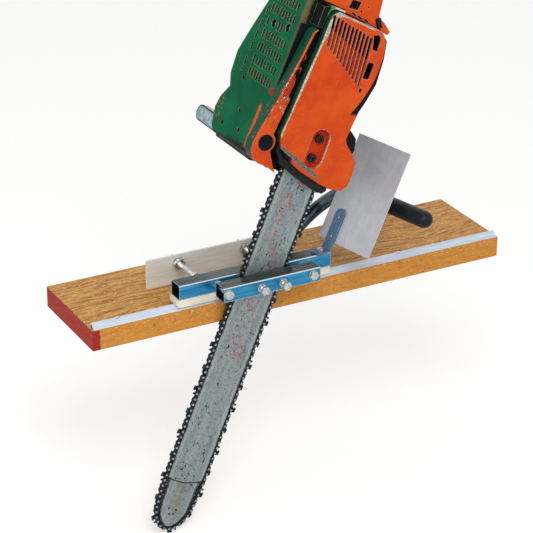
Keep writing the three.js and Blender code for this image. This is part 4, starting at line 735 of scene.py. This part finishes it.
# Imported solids: finish, rounding of the edges in millimetres, angle from which they are rounded, nodes
dressings = [
    ("boardWood", 0.8, 30, "guide_board"),
    ("railMetal", 0.35, 30, "guide_rail"),
    ("zincPlate", 0.35, 40, "front_tube rear_tube"),
    ("chromeTube", 0.5, 50, "handle_tube"),
    ("nylon", 0.4, 35, "slide_shoe"),
    ("plateMetal", 0.5, 30, "outrigger_plate"),
    ("sheetMetal", 0.3, 30, "deflector_sheet"),
    ("bracketSteel", 0.35, 40, "deflector_bracket"),
    ("brightSteel", 0.25, 40, "rail_screw_1 rail_screw_2 rail_screw_3"),
    ("brightSteel", 0.3, 40, "crankshaft"),
    ("washerSteel", 0.3, 40, "bolt_washer_left bolt_washer_right"),
    ("castMetal", 0.4, 40, "rest_pad_left rest_pad_right"),
    ("castMetal", 0.3, 40, "connecting_rod piston cylinder flywheel"),
    ("castMetal", 0.4, 40, "clutch_drum"),
    ("outletMetal", 0.5, 35, "exhaust_outlet"),
    ("exhaustSteel", 0.5, 35, "muffler"),
    ("barSteel", 0.3, 40, "guide_bar bar_nose"),
    ("chainSteel", 0.15, 40, "nose_sprocket"),
    ("coverPaint", 0.5, 42, "clutch_cover"),
    ("orangePaint", 1.2, 50, "starter_housing"),
    ("rearPaint", 0.8, 40, "rear_handle"),
    ("housingPaint", 0.8, 40, "side_housing"),
    ("greenPaint", 0.4, 42, "engine_shroud"),
    ("caseDark", 0.8, 40, "crankcase"),
    ("rubber", 0.4, 40, "handle_grip"),
    ("rubber", 0.8, 40, "chain_guard"),
    ("blackPlastic", 0.6, 40, "oil_cap"),
    ("blackPlastic", 1, 50, "starter_grip"),
    ("blackPlastic", 0.8, 40, "throttle_trigger throttle_lockout"),
    ("blackPlastic", 0.6, 40, "fuel_cap"),
]
dressLook = {"merge": 0.008, "flatBelow": 0.6, "edgeSegments": 2, "faceWeight": 80}


def camel(name):
    first, *others = name.split("_")
    return first + "".join(word.capitalize() for word in others)


def roundEdges(piece, width):
    bevel = piece.modifiers.new("edges", "BEVEL")
    bevel.width = width * mm
    bevel.segments = dressLook["edgeSegments"]
    return bevel


def dress(node, finish, edge, angle):
    mesh = nodes[node].data.copy()
    shape = bmesh.new()
    shape.from_mesh(mesh)
    bmesh.ops.remove_doubles(shape, verts=shape.verts, dist=dressLook["merge"] * mm)
    bmesh.ops.dissolve_limit(shape, angle_limit=math.radians(dressLook["flatBelow"]), verts=shape.verts,
        edges=shape.edges)
    for face in shape.faces:
        face.smooth = True
    shape.to_mesh(mesh)
    shape.free()
    mesh.materials.clear()
    piece = link(bpy.data.objects.new(camel(node), mesh))
    bevel = roundEdges(piece, edge)
    bevel.limit_method = "ANGLE"
    bevel.angle_limit = math.radians(angle)
    bevel.use_clamp_overlap = True
    shading = piece.modifiers.new("shading", "WEIGHTED_NORMAL")
    shading.mode = "FACE_AREA"
    shading.weight = dressLook["faceWeight"]
    attach(settle(piece, finish), node, node)


for *setting, members in dressings:
    for node in members.split():
        dress(node, *setting)
print("packed solids dressed")


def startGrowth(name, **inputs):
    return startGroup(name, "Geometry", {"Geometry": "Geometry", **inputs}, "Geometry")


def painted(part, material, **chosen):
    return put("GeometryNodeSetMaterial", {"Geometry": part, "Material": material, **chosen})


def finishGrowth(part, material):
    finishGroup(Geometry=painted(put("GeometryNodeRealizeInstances", {0: part}), material))


def named(label, kind="FLOAT_VECTOR"):
    return put("GeometryNodeInputNamedAttribute", {"Name": label}, "Attribute", data_type=kind)


def setOnPoints(given, part, **extra):
    # Sets the part on the carrier's points, Z along "axis" and X along "corner"
    turn = put("FunctionNodeAxesToRotation", {"Primary Axis": named("axis"), "Secondary Axis": named("corner")},
        primary_axis="Z", secondary_axis="X")
    finishGrowth(put("GeometryNodeInstanceOnPoints", {"Points": given["Geometry"], "Instance": part,
        "Rotation": turn, **extra}), given["Material"])


def joined(*parts):
    return put("GeometryNodeJoinGeometry", {0: list(parts)})


def raised(part, height):
    return put("GeometryNodeTransform", {"Geometry": part, "Translation": xyz(0, 0, height)})


def rod(radius, depth, sides=24, rings=1):
    return put("GeometryNodeMeshCylinder", {"Vertices": sides, "Side Segments": rings, "Radius": radius,
        "Depth": depth}, "Mesh")


def position():
    return axesOf(put("GeometryNodeInputPosition"))


def turned(part, x, y, z, radius):  # scales the part's cross-section, as on a lathe
    return put("GeometryNodeSetPosition", {"Geometry": part, "Position": xyz(x * radius, y * radius, z)})


def hexBody(across, height, bothEnds):
    # A hexagon cut by a barrel, which leaves the round chamfers
    prism = rod(across / math.sqrt(3), height, 6)
    barrel = rod(1, height, 48, 24)
    x, y, z = position()
    toEnd = height * 0.5 - (abs(z) if bothEnds else z)
    radius = calc("MINIMUM", across * 0.6, across * 0.475 + toEnd * 1.6)
    barrel = turned(barrel, x, y, z * 1.004, radius)
    return put("GeometryNodeMeshBoolean", {1: [prism, barrel]}, operation="INTERSECT")


def threadedRod(given):
    radius, length, pitch = given["Radius"], given["Length"], given["Pitch"]
    body = rod(radius, length, 20, length / pitch * 5)
    x, y, z = position()
    turn = calc("ARCTAN2", y, x) * pitch * (1 / (2 * math.pi))
    wave = calc("PINGPONG", z + turn, pitch * 0.5) / radius
    zone = calc("LESS_THAN", z, given["Thread Length"] - length * 0.5)
    return raised(turned(body, x, y, z, 1 - wave * zone), length * -0.5)


def makeBoltTree():
    given = startGrowth("hexBolt", **{"Across Flats": 0.013, "Head Height": 0.005, "Radius": 0.004,
        "Length": 0.05, "Thread Length": 0.02, "Pitch": 0.00125, "Material": "Material"})
    height = given["Head Height"]
    head = raised(hexBody(given["Across Flats"], height, False), height * 0.5)
    setOnPoints(given, joined(head, threadedRod(given)))


def makeNutTree():
    given = startGrowth("hexNut", **{"Across Flats": 0.013, "Height": 0.0065, "Bore Radius": 0.0043,
        "Material": "Material"})
    height = given["Height"]
    body = hexBody(given["Across Flats"], height, True)
    bore = rod(given["Bore Radius"], height * 2, 24)
    setOnPoints(given, raised(put("GeometryNodeMeshBoolean", {0: body, 1: bore}, operation="DIFFERENCE"),
        height * 0.5))


def makeStudTree():
    given = startGrowth("collarStud", **{"Radius": 0.005, "Length": 0.1, "Thread Length": 0.045, "Pitch": 0.0015,
        "Collar Radius": 0.009, "Collar Height": 0.004, "Collar Place": 0.012, "Material": "Material"})
    shaft = threadedRod(given)
    wide, high = given["Collar Radius"], given["Collar Height"]
    x, y, z = position()
    radius = calc("MINIMUM", wide, wide * 0.92 + (high * 0.5 - abs(z)))
    collar = turned(rod(1, high, 40, 8), x, y, z, radius)
    setOnPoints(given, joined(shaft, raised(collar, (given["Collar Place"] + high * 0.5) * -1.0)))


def makeRivetTree():
    given = startGrowth("rivets", Radius=0.002, Height=0.0008, Material="Material")
    ball = put("GeometryNodeMeshUVSphere", {"Segments": 20, "Rings": 10, "Radius": 1}, "Mesh")
    size = xyz(given["Radius"], given["Radius"], given["Height"])
    setOnPoints(given, put("GeometryNodeTransform", {"Geometry": ball, "Scale": size}))


def makeBladeTree():
    given = startGrowth("louvreBlades", Depth=0.009, Thickness=0.0012, Material="Material")
    block = put("GeometryNodeMeshCube", {"Size": (1, 1, 1)}, "Mesh")
    setOnPoints(given, block, Scale=xyz(given["Depth"], given["Thickness"], named("long", "FLOAT")))


def smoothPath(given):
    path = put("GeometryNodeMeshToCurve", {0: given["Geometry"]})
    return put("GeometryNodeCurveSplineType", {0: path}, spline_type="CATMULL_ROM")


def makeBeadTree():
    given = startGrowth("beadAlongPath", Radius=0.001, Step=0.003, Material="Material")
    path = put("GeometryNodeResampleCurve", {"Curve": smoothPath(given), "Length": given["Step"]}, mode="LENGTH")
    ring = put("GeometryNodeCurvePrimitiveCircle", {"Resolution": 10, "Radius": given["Radius"]})
    finishGrowth(put("GeometryNodeCurveToMesh", {"Curve": path, "Profile Curve": ring, "Fill Caps": True}),
        given["Material"])


makeBoltTree()
makeNutTree()
makeStudTree()
makeRivetTree()
makeBladeTree()
makeBeadTree()


def grow(name, growth, points, values, edges=(), **layers):
    # Runs a tree on points, which carry the layers, and makes its result a plain mesh
    mesh = bpy.data.meshes.new(name)
    mesh.from_pydata([tuple(point) for point in points], list(edges), [])
    for label, given in layers.items():
        if isinstance(given[0], Vector):
            layer = mesh.attributes.new(label, "FLOAT_VECTOR", "POINT")
            layer.data.foreach_set("vector", [value for vector in given for value in vector])
        else:
            mesh.attributes.new(label, "FLOAT", "POINT").data.foreach_set("value", given)
    piece = link(bpy.data.objects.new(name, mesh))
    modifier = piece.modifiers.new("growth", "NODES")
    modifier.node_group = groups[growth]
    for item in groups[growth].interface.items_tree:
        if item.item_type == "SOCKET" and item.in_out == "INPUT" and item.name in values:
            modifier[item.identifier] = values[item.name]
    return settle(piece, sharpFrom=32)


# Hexagon sizes in millimetres: across flats, height of the head, radius, pitch
threads = {"M8": {"across": 13, "head": 5.3, "radius": 4, "pitch": 1.25},
    "M10": {"across": 17, "head": 6.4, "radius": 5, "pitch": 1.5},
    "M6": {"across": 10, "head": 4, "radius": 3, "pitch": 1}}
collarLook = {"Collar Radius": 9 * mm, "Collar Height": 4 * mm, "Collar Place": 12 * mm}
borePlay = 0.3
frontward = (0, -1, 0)
fasteners = [  # kind, thread, direction of the head, length of thread, finish, nodes
    ("hexBolt", "M8", frontward, 16, "brightSteel", "through_bolt_left through_bolt_right"),
    ("hexBolt", "M8", frontward, 60, "brightSteel", "clamp_screw_left clamp_screw_right"),
    ("hexBolt", "M6", (0, 0, 1), 8, "brightSteel", "bracket_bolt"),
    ("hexNut", "M8", frontward, 0, "brightSteel", "lock_nut_left lock_nut_right spacer_nut_left spacer_nut_right "
        "bolt_nut_left bolt_nut_right"),
    ("hexNut", "M10", frontward, 0, "brightSteel", "plate_nut_front_left plate_nut_front_right "
        "plate_nut_back_left plate_nut_back_right"),
    ("hexNut", "M8", frontward, 0, "darkSteel", "bar_nut_lower bar_nut_upper"),
    ("collarStud", "M10", frontward, 48, "brightSteel", "outrigger_rod_left outrigger_rod_right")]


def makeFastener(node, kind, size, axis, threadLong, finish):
    axis, size = Vector(axis), threads[size]
    low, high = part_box(node)
    middle = (low + high) / 2
    back, front = sorted(corner.dot(axis) for corner in (low, high))
    flat = middle - axis * middle.dot(axis)
    corner = max(((vertex.co - middle) - axis * (vertex.co - middle).dot(axis)
        for vertex in nodes[node].data.vertices), key=lambda across: round(across.length, 6))
    values = {"Across Flats": size["across"] * mm, "Radius": size["radius"] * mm, "Pitch": size["pitch"] * mm,
        "Thread Length": threadLong * mm, "Material": finishes[finish]}
    start = back
    if kind == "hexBolt":
        start = front - size["head"] * mm
        values.update({"Head Height": size["head"] * mm, "Length": start - back})
        values["Thread Length"] = min(values["Thread Length"], values["Length"] * 0.98)
    elif kind == "collarStud":
        start = front
        values.update({"Length": front - back, **collarLook})
    else:
        values.update({"Height": front - back, "Bore Radius": (size["radius"] + borePlay) * mm})
    piece = grow(camel(node), kind, [flat + axis * start], values, axis=[axis], corner=[corner.normalized()])
    attach(piece, node, node)


for *setting, members in fasteners:
    for node in members.split():
        makeFastener(node, *setting)
print("fasteners made")

# The chain: links from rivet to rivet round the bar, in millimetres
chainLook = {"barHalf": 32.5, "noseTaper": 2.5, "tip": -741, "noseRound": 46, "top": -32, "wheel": 21,
    "rivetLine": 4.3, "spacing": 9.4, "plate": (0.9, 2.3), "drive": (-0.75, 0.75), "crown": (0.8, 3.1),
    "rivetReach": 3, "rivetRadius": 1.9, "pattern": 8}
linkLines = {
    "strap": [(-5.6, -8.2), (5.6, -8.2), (6.9, -3.5), (7.7, -1), (7.6, 1.2), (6.4, 2.9), (3.6, 3.4), (0, 2.5),
        (-3.6, 3.4), (-6.4, 2.9), (-7.6, 1.2), (-7.7, -1)],
    "cutter": [(-5.8, -8.2), (5.8, -8.2), (7.6, -3.4), (8, 1), (7.4, 5), (5.4, 5.7), (4.3, 3.2), (2.6, 1.3),
        (0.6, 1.8), (-0.5, 3.8), (-0.1, 6.5), (-7.4, 5.7), (-8, 1)],
    "crown": [(-7.6, 4.9), (0.1, 5.7), (0.1, 7.1), (-7.6, 6.2)],
    "drive": [(-7, 0.4), (-6.5, -2.2), (-4.4, -3.5), (-2.6, -4.2), (-1.3, -8.3), (1.1, -8.3), (2.6, -4.2),
        (4.4, -3.5), (6.5, -2.2), (7, 0.4), (6, 2.4), (3.4, 2.9), (0, 1.7), (-3.4, 2.9), (-6, 2.4)],
}


def closeRings(shape, rings):
    # Walls between rings of points, with a cap at both ends
    rings = [[shape.verts.new(point) for point in ring] for ring in rings]
    faces = [shape.faces.new(rings[0]), shape.faces.new(list(reversed(rings[-1])))]
    for first, second in zip(rings, rings[1:]):
        for index in range(len(first)):
            after = (index + 1) % len(first)
            faces.append(shape.faces.new((first[after], first[index], second[index], second[after])))
    return faces


def fromShape(name, shape):
    bmesh.ops.recalc_face_normals(shape, faces=shape.faces)
    mesh = bpy.data.meshes.new(name)
    shape.to_mesh(mesh)
    shape.free()
    return link(bpy.data.objects.new(name, mesh))


def closePlate(shape, line, *depths):
    return closeRings(shape, [[(x * mm, y * mm, z * mm) for x, z in line] for y in depths])


def makeLink(name, plates, withRivets=True):
    shape = bmesh.new()
    isRivet = shape.faces.layers.float.new("rivet")
    for line, *depths in plates:
        closePlate(shape, linkLines[line], *depths)
    radius, reach = chainLook["rivetRadius"], chainLook["rivetReach"]
    turns = [index * math.pi / 4 for index in range(8)]
    for side in (-1, 1) if withRivets else ():
        centre = side * chainLook["spacing"] / 2
        ring = [(centre + radius * math.cos(turn), radius * math.sin(turn)) for turn in turns]
        for face in closePlate(shape, ring, -reach, reach):
            face[isRivet] = 1.0
    return fromShape(name, shape)


def chainPath():
    # The rivets' line round nose, bar and drive wheel
    look = SimpleNamespace(**chainLook)
    grown = look.rivetLine
    half, wheel = look.barHalf + grown, look.wheel + grown
    noseHalf, start = half - look.noseTaper, look.tip + look.noseRound
    turns = [index / 16 * math.pi for index in range(17)]
    line = [(-noseHalf * math.cos(turn), start - (look.noseRound + grown) * math.sin(turn)) for turn in turns]
    shoulder = (half - look.noseTaper / 4, look.tip + 1.35 * look.noseRound)
    low, high = look.tip + 1.8 * look.noseRound, look.top - 0.8 * look.noseRound
    side = [(half, low + (high - low) * index / 12) for index in range(13)]
    line += [shoulder, *side]
    line += [(wheel * math.cos(turn), wheel * math.sin(turn)) for turn in turns]
    line += [(-x, z) for x, z in reversed([shoulder, *side])]
    return [onSaw(x, 0, z) for x, z in line]


def makeChainTree():
    given = startGrowth("sawChain", **{"Spacing": 0.0094, "Pattern": 8, "Left Cutter": "Object",
        "Right Cutter": "Object", "Straps": "Object", "Drive Link": "Object", "Link Material": "Material",
        "Rivet Material": "Material"})
    path = smoothPath(given)
    length = put("GeometryNodeCurveLength", {0: path})
    patterns = calc("ROUND", length / (given["Spacing"] * given["Pattern"]))
    path = put("GeometryNodeResampleCurve", {"Curve": path, "Count": patterns * given["Pattern"]}, mode="COUNT")
    turn = put("FunctionNodeAxesToRotation", {"Primary Axis": put("GeometryNodeInputTangent"),
        "Secondary Axis": (0, -1, 0)}, primary_axis="X", secondary_axis="Y")
    index = calc("FLOORED_MODULO", put("GeometryNodeInputIndex"), given["Pattern"])
    odd = calc("FLOORED_MODULO", index, 2)
    left = calc("COMPARE", index, 0, 0.1)
    right = calc("COMPARE", index, 4, 0.1)
    chosen = {"Left Cutter": left, "Right Cutter": right, "Straps": 1 - (odd + left + right), "Drive Link": odd}
    parts = [put("GeometryNodeInstanceOnPoints", {"Points": path, "Selection": share, "Rotation": turn,
        "Instance": put("GeometryNodeObjectInfo", {"Object": given[label]}, "Geometry")})
        for label, share in chosen.items()]
    whole = painted(put("GeometryNodeRealizeInstances", {0: joined(*parts)}), given["Link Material"])
    isRivet = calc("GREATER_THAN", named("rivet", "FLOAT"), 0.5)
    finishGroup(Geometry=painted(whole, given["Rivet Material"], Selection=isRivet))


def makeChain():
    look = chainLook
    near, far = look["plate"]
    low, high = look["crown"]
    straps = [("strap", near, far), ("strap", -far, -near)]
    shapes = {"Left Cutter": makeLink("leftCutter", [("cutter", near, far), ("crown", -low, high), straps[1]]),
        "Right Cutter": makeLink("rightCutter", [("cutter", -far, -near), ("crown", -high, low), straps[0]]),
        "Straps": makeLink("straps", straps),
        "Drive Link": makeLink("driveLink", [("drive", *look["drive"])], False)}
    points = chainPath()
    edges = [(index, (index + 1) % len(points)) for index in range(len(points))]
    makeChainTree()
    piece = grow("sawChain", "sawChain", points, {"Spacing": look["spacing"] * mm, "Pattern": look["pattern"],
        "Link Material": finishes["chainSteel"], "Rivet Material": finishes["rivetSteel"], **shapes}, edges)
    for shape in shapes.values():
        bpy.data.objects.remove(shape)
    attach(piece, "saw_chain", "saw_chain")
    print("chain faces", len(piece.data.polygons))


makeChain()

# Small fittings on the saw, placed from the crankshaft in millimetres
sawTurn = sawFrame.to_3x3().normalized()
noseRivets = {"big": [(-9.8, -708.6), (4.5, -710.7), (-5.7, -719.1), (1.7, -718.3)],
    "small": [(-1.8, -654.1), (13.8, -647.5)], "face": 2.5, "radius": 1.9, "smallRadius": 1.5, "height": 0.35}
lidScrews = {"places": [(35, 87), (76, 82)], "depth": -86.4, "radius": 4.4, "height": 2}
starterScrews = {"ring": 54, "face": 124, "radius": 3.6, "height": 1.6}
stripRivets = {"carriageLow": (-80, -96, 35), "bend": (124, 15.5), "seat": 44.8, "ups": (22.4, 55.4),
    "lean": 28.9, "turn": 12.4, "radius": 2.2, "height": 0.9, "frontDepth": 1.5, "backDepth": 3.3}
louvreLook = {"count": 11, "half": 2.8, "top": ((-57, 134), (20, 117)), "foot": ((-51, 84), (29, 35)),
    "wall": -21, "depth": 9, "thickness": 1.2, "share": 0.55}
ridgeLook = {"line": [(20.3, 121.8), (25.4, 106.2), (28.2, 86), (28.9, 70.5), (29, 51), (29.4, 38)],
    "face": -24, "radius": 0.9, "step": 3}
bellowsLook = {"start": (25.5, -13, 145.5), "end": (34.5, -13, 132.5), "rings": 5, "sides": 20,
    "radius": 5, "core": 3.8, "edge": 0.5}
slotShadeLook = {"near": -87.2, "far": -85.8, "line": [(13, -58), (13, 136), (60, 136), (98, 133), (110, 110),
    (131, 52), (143, 15), (141, -20), (130, -38), (120, -58)]}


def makeRivets(name, like, finish, points, axes, radius, height):
    corners = [axis.orthogonal().normalized() for axis in axes]
    attach(grow(name, "rivets", points, {"Radius": radius * mm, "Height": height * mm,
        "Material": finishes[finish]}, axis=axes, corner=corners), like)


def makeBarRivets():
    look = noseRivets
    for label, radius in (("big", look["radius"]), ("small", look["smallRadius"])):
        points = [onSaw(x, side * look["face"], z) for x, z in look[label] for side in (-1, 1)]
        axes = [Vector((0, side, 0)) for _ in look[label] for side in (-1, 1)]
        makeRivets(label + "BarRivets", "bar_nose", "chainSteel", points, axes, radius, look["height"])


def makeScrews():
    look = lidScrews
    points = [onSaw(look["depth"], y, z) for y, z in look["places"]]
    makeRivets("lidScrews", "engine_shroud", "brightSteel", points, [sawTurn @ Vector((-1, 0, 0))] * len(points),
        look["radius"], look["height"])
    look = starterScrews
    turns = [math.radians(45 + 90 * index) for index in range(4)]
    points = [onSaw(look["ring"] * math.cos(turn), look["face"], look["ring"] * math.sin(turn)) for turn in turns]
    makeRivets("starterScrews", "starter_housing", "brightSteel", points, [Vector((0, 1, 0))] * len(points),
        look["radius"], look["height"])


def makeStripRivets():
    look = stripRivets
    bend = Vector(look["carriageLow"]) * mm + Vector((*look["bend"], look["seat"])) * mm
    turn = Matrix.Rotation(math.radians(look["turn"]), 3, "Z")
    turn = turn @ Matrix.Rotation(math.radians(look["lean"]), 3, "Y")
    up, out = turn @ Vector((0, 0, 1)), turn @ Vector((-1, 0, 0))
    points, axes = [], []
    for rise in look["ups"]:
        middle = bend + up * rise * mm
        points += [middle + out * look["frontDepth"] * mm, middle - out * look["backDepth"] * mm]
        axes += [out, -out]
    makeRivets("deflectorRivets", "deflector_bracket", "rivetSteel", points, axes, look["radius"], look["height"])


def makeLouvreBlades():
    look = louvreLook
    points, axes, longs = [], [], []
    for index in range(look["count"]):
        share = index / (look["count"] - 1)
        top, foot = (Vector(first).lerp(Vector(last), share) for first, last in (look["top"], look["foot"]))
        along = top - foot
        middle = foot + along * look["share"] / 2
        side = middle.x + look["half"] + look["thickness"] / 2
        points.append(onSaw(side, look["wall"] + look["depth"] / 2, middle.y))
        axes.append(sawTurn @ Vector((along.x, 0, along.y)).normalized())
        longs.append(along.length * look["share"] * mm)
    attach(grow("louvreBlades", "louvreBlades", points, {"Depth": look["depth"] * mm,
        "Thickness": look["thickness"] * mm, "Material": finishes["orangePaint"]}, axis=axes,
        corner=[Vector((0, 1, 0))] * len(points), long=longs), "clutch_cover")


def makeRidge():
    look = ridgeLook
    points = [onSaw(x, look["face"], z) for x, z in look["line"]]
    attach(grow("coverRidge", "beadAlongPath", points, {"Radius": look["radius"] * mm, "Step": look["step"] * mm,
        "Material": finishes["orangePaint"]}, [(index, index + 1) for index in range(len(points) - 1)]),
        "clutch_cover")


def makeBellows():
    # A black rubber mount between the block and the cover's corner
    look = bellowsLook
    start, end = onSaw(*look["start"]), onSaw(*look["end"])
    axis = (end - start).normalized()
    across = axis.orthogonal().normalized()
    other = axis.cross(across)
    turns = [2 * math.pi * side / look["sides"] for side in range(look["sides"])]
    rings = []
    for index in range(2 * look["rings"] + 1):
        radius = (look["radius"] if index % 2 else look["core"]) * mm
        middle = start.lerp(end, index / (2 * look["rings"]))
        rings.append([middle + (across * math.cos(turn) + other * math.sin(turn)) * radius for turn in turns])
    shape = bmesh.new()
    closeRings(shape, rings)
    piece = fromShape("rubberMount", shape)
    roundEdges(piece, look["edge"])
    attach(settle(piece, "rubber", 60), "chain_guard")


def makeSlotShadeSheet():
    # Painted shade: a dark sheet just behind the lid's slots, so that they read dark
    look = slotShadeLook
    shape = bmesh.new()
    closeRings(shape, [[onSaw(x, y, z) for y, z in look["line"]] for x in (look["near"], look["far"])])
    piece = fromShape("coolingBaffle", shape)
    piece.data.materials.append(finishes["caseDark"])
    attach(piece, "crankcase")


makeBarRivets()
makeScrews()
makeStripRivets()
makeLouvreBlades()
makeRidge()
makeBellows()
makeSlotShadeSheet()
print("small fittings made")

cameraLook = {"azimuth": -28.5, "elevation": 25.5, "roll": 0.3, "distance": 3.454, "lens": 148.6,
    "aim": (-0.073, -0.096, 0.0817)}
studioLook = {"floor": (236, 236, 235), "floorGlow": 0.27, "floorDrop": 2, "reach": 40, "ambient": 0.72,
    "aim": (0, 0, 0.2)}
lampLooks = {"key": {"place": (-0.9, -2.3, 2.6), "power": 46, "size": 1.5},
    "fill": {"place": (-2.6, -0.9, 1), "power": 10, "size": 2}}


def makeCamera():
    look = cameraLook
    around, above = math.radians(look["azimuth"]), math.radians(look["elevation"])
    back = Vector((math.sin(around) * math.cos(above), -math.cos(around) * math.cos(above), math.sin(above)))
    right = Vector((math.cos(around), math.sin(around), 0))
    up = back.cross(right)
    turn = Matrix((right, up, back)).transposed() @ Matrix.Rotation(math.radians(look["roll"]), 3, "Z")
    camera = link(bpy.data.objects.new("camera", bpy.data.cameras.new("camera")))
    camera.matrix_world = Matrix.Translation(Vector(look["aim"]) + back * look["distance"]) @ turn.to_4x4()
    camera.data.lens = look["lens"]
    camera.data.sensor_width = 36
    camera.data.clip_end = 100
    bpy.context.scene.camera = camera


def makeLamps():
    for name, look in lampLooks.items():
        lamp = bpy.data.lights.new(name, "AREA")
        lamp.energy, lamp.size = look["power"], look["size"]
        holder = link(bpy.data.objects.new(name, lamp))
        holder.location = look["place"]
        toAim = Vector(studioLook["aim"]) - Vector(look["place"])
        holder.rotation_euler = toAim.to_track_quat("-Z", "Y").to_euler()


def makeFloor():
    look = studioLook
    startMaterial("floorPaint", roughness=0.9, specular=0.1)
    setShader({"Base Color": shade(*look["floor"]), "Emission Color": (1, 1, 1, 1),
        "Emission Strength": put("ShaderNodeLightPath", output="Is Camera Ray") * look["floorGlow"]})
    mesh = bpy.data.meshes.new("floor")
    level, reach = cadBox[0][2] - look["floorDrop"] * mm, look["reach"]
    mesh.from_pydata([(x, y, level) for x, y in ((-reach, -reach), (reach, -reach), (reach, reach),
        (-reach, reach))], [], [(0, 1, 2, 3)])
    mesh.materials.append(finishes["floorPaint"])
    link(bpy.data.objects.new("floor", mesh))


def makeWorld():
    global tree
    world = bpy.context.scene.world = bpy.data.worlds.new("studio")
    world.use_nodes = True
    tree = world.node_tree
    back = tree.nodes["Background"].inputs
    seen = most(*[put("ShaderNodeLightPath", output=f"Is {kind} Ray") for kind in ("Camera", "Glossy",
        "Transmission")])
    feed(back["Color"], (1, 1, 1, 1))
    feed(back["Strength"], studioLook["ambient"] + seen * (1 - studioLook["ambient"]))
    bpy.context.scene.view_settings.view_transform = "Standard"


makeCamera()
makeFloor()
makeLamps()
makeWorld()
print("camera and studio set")
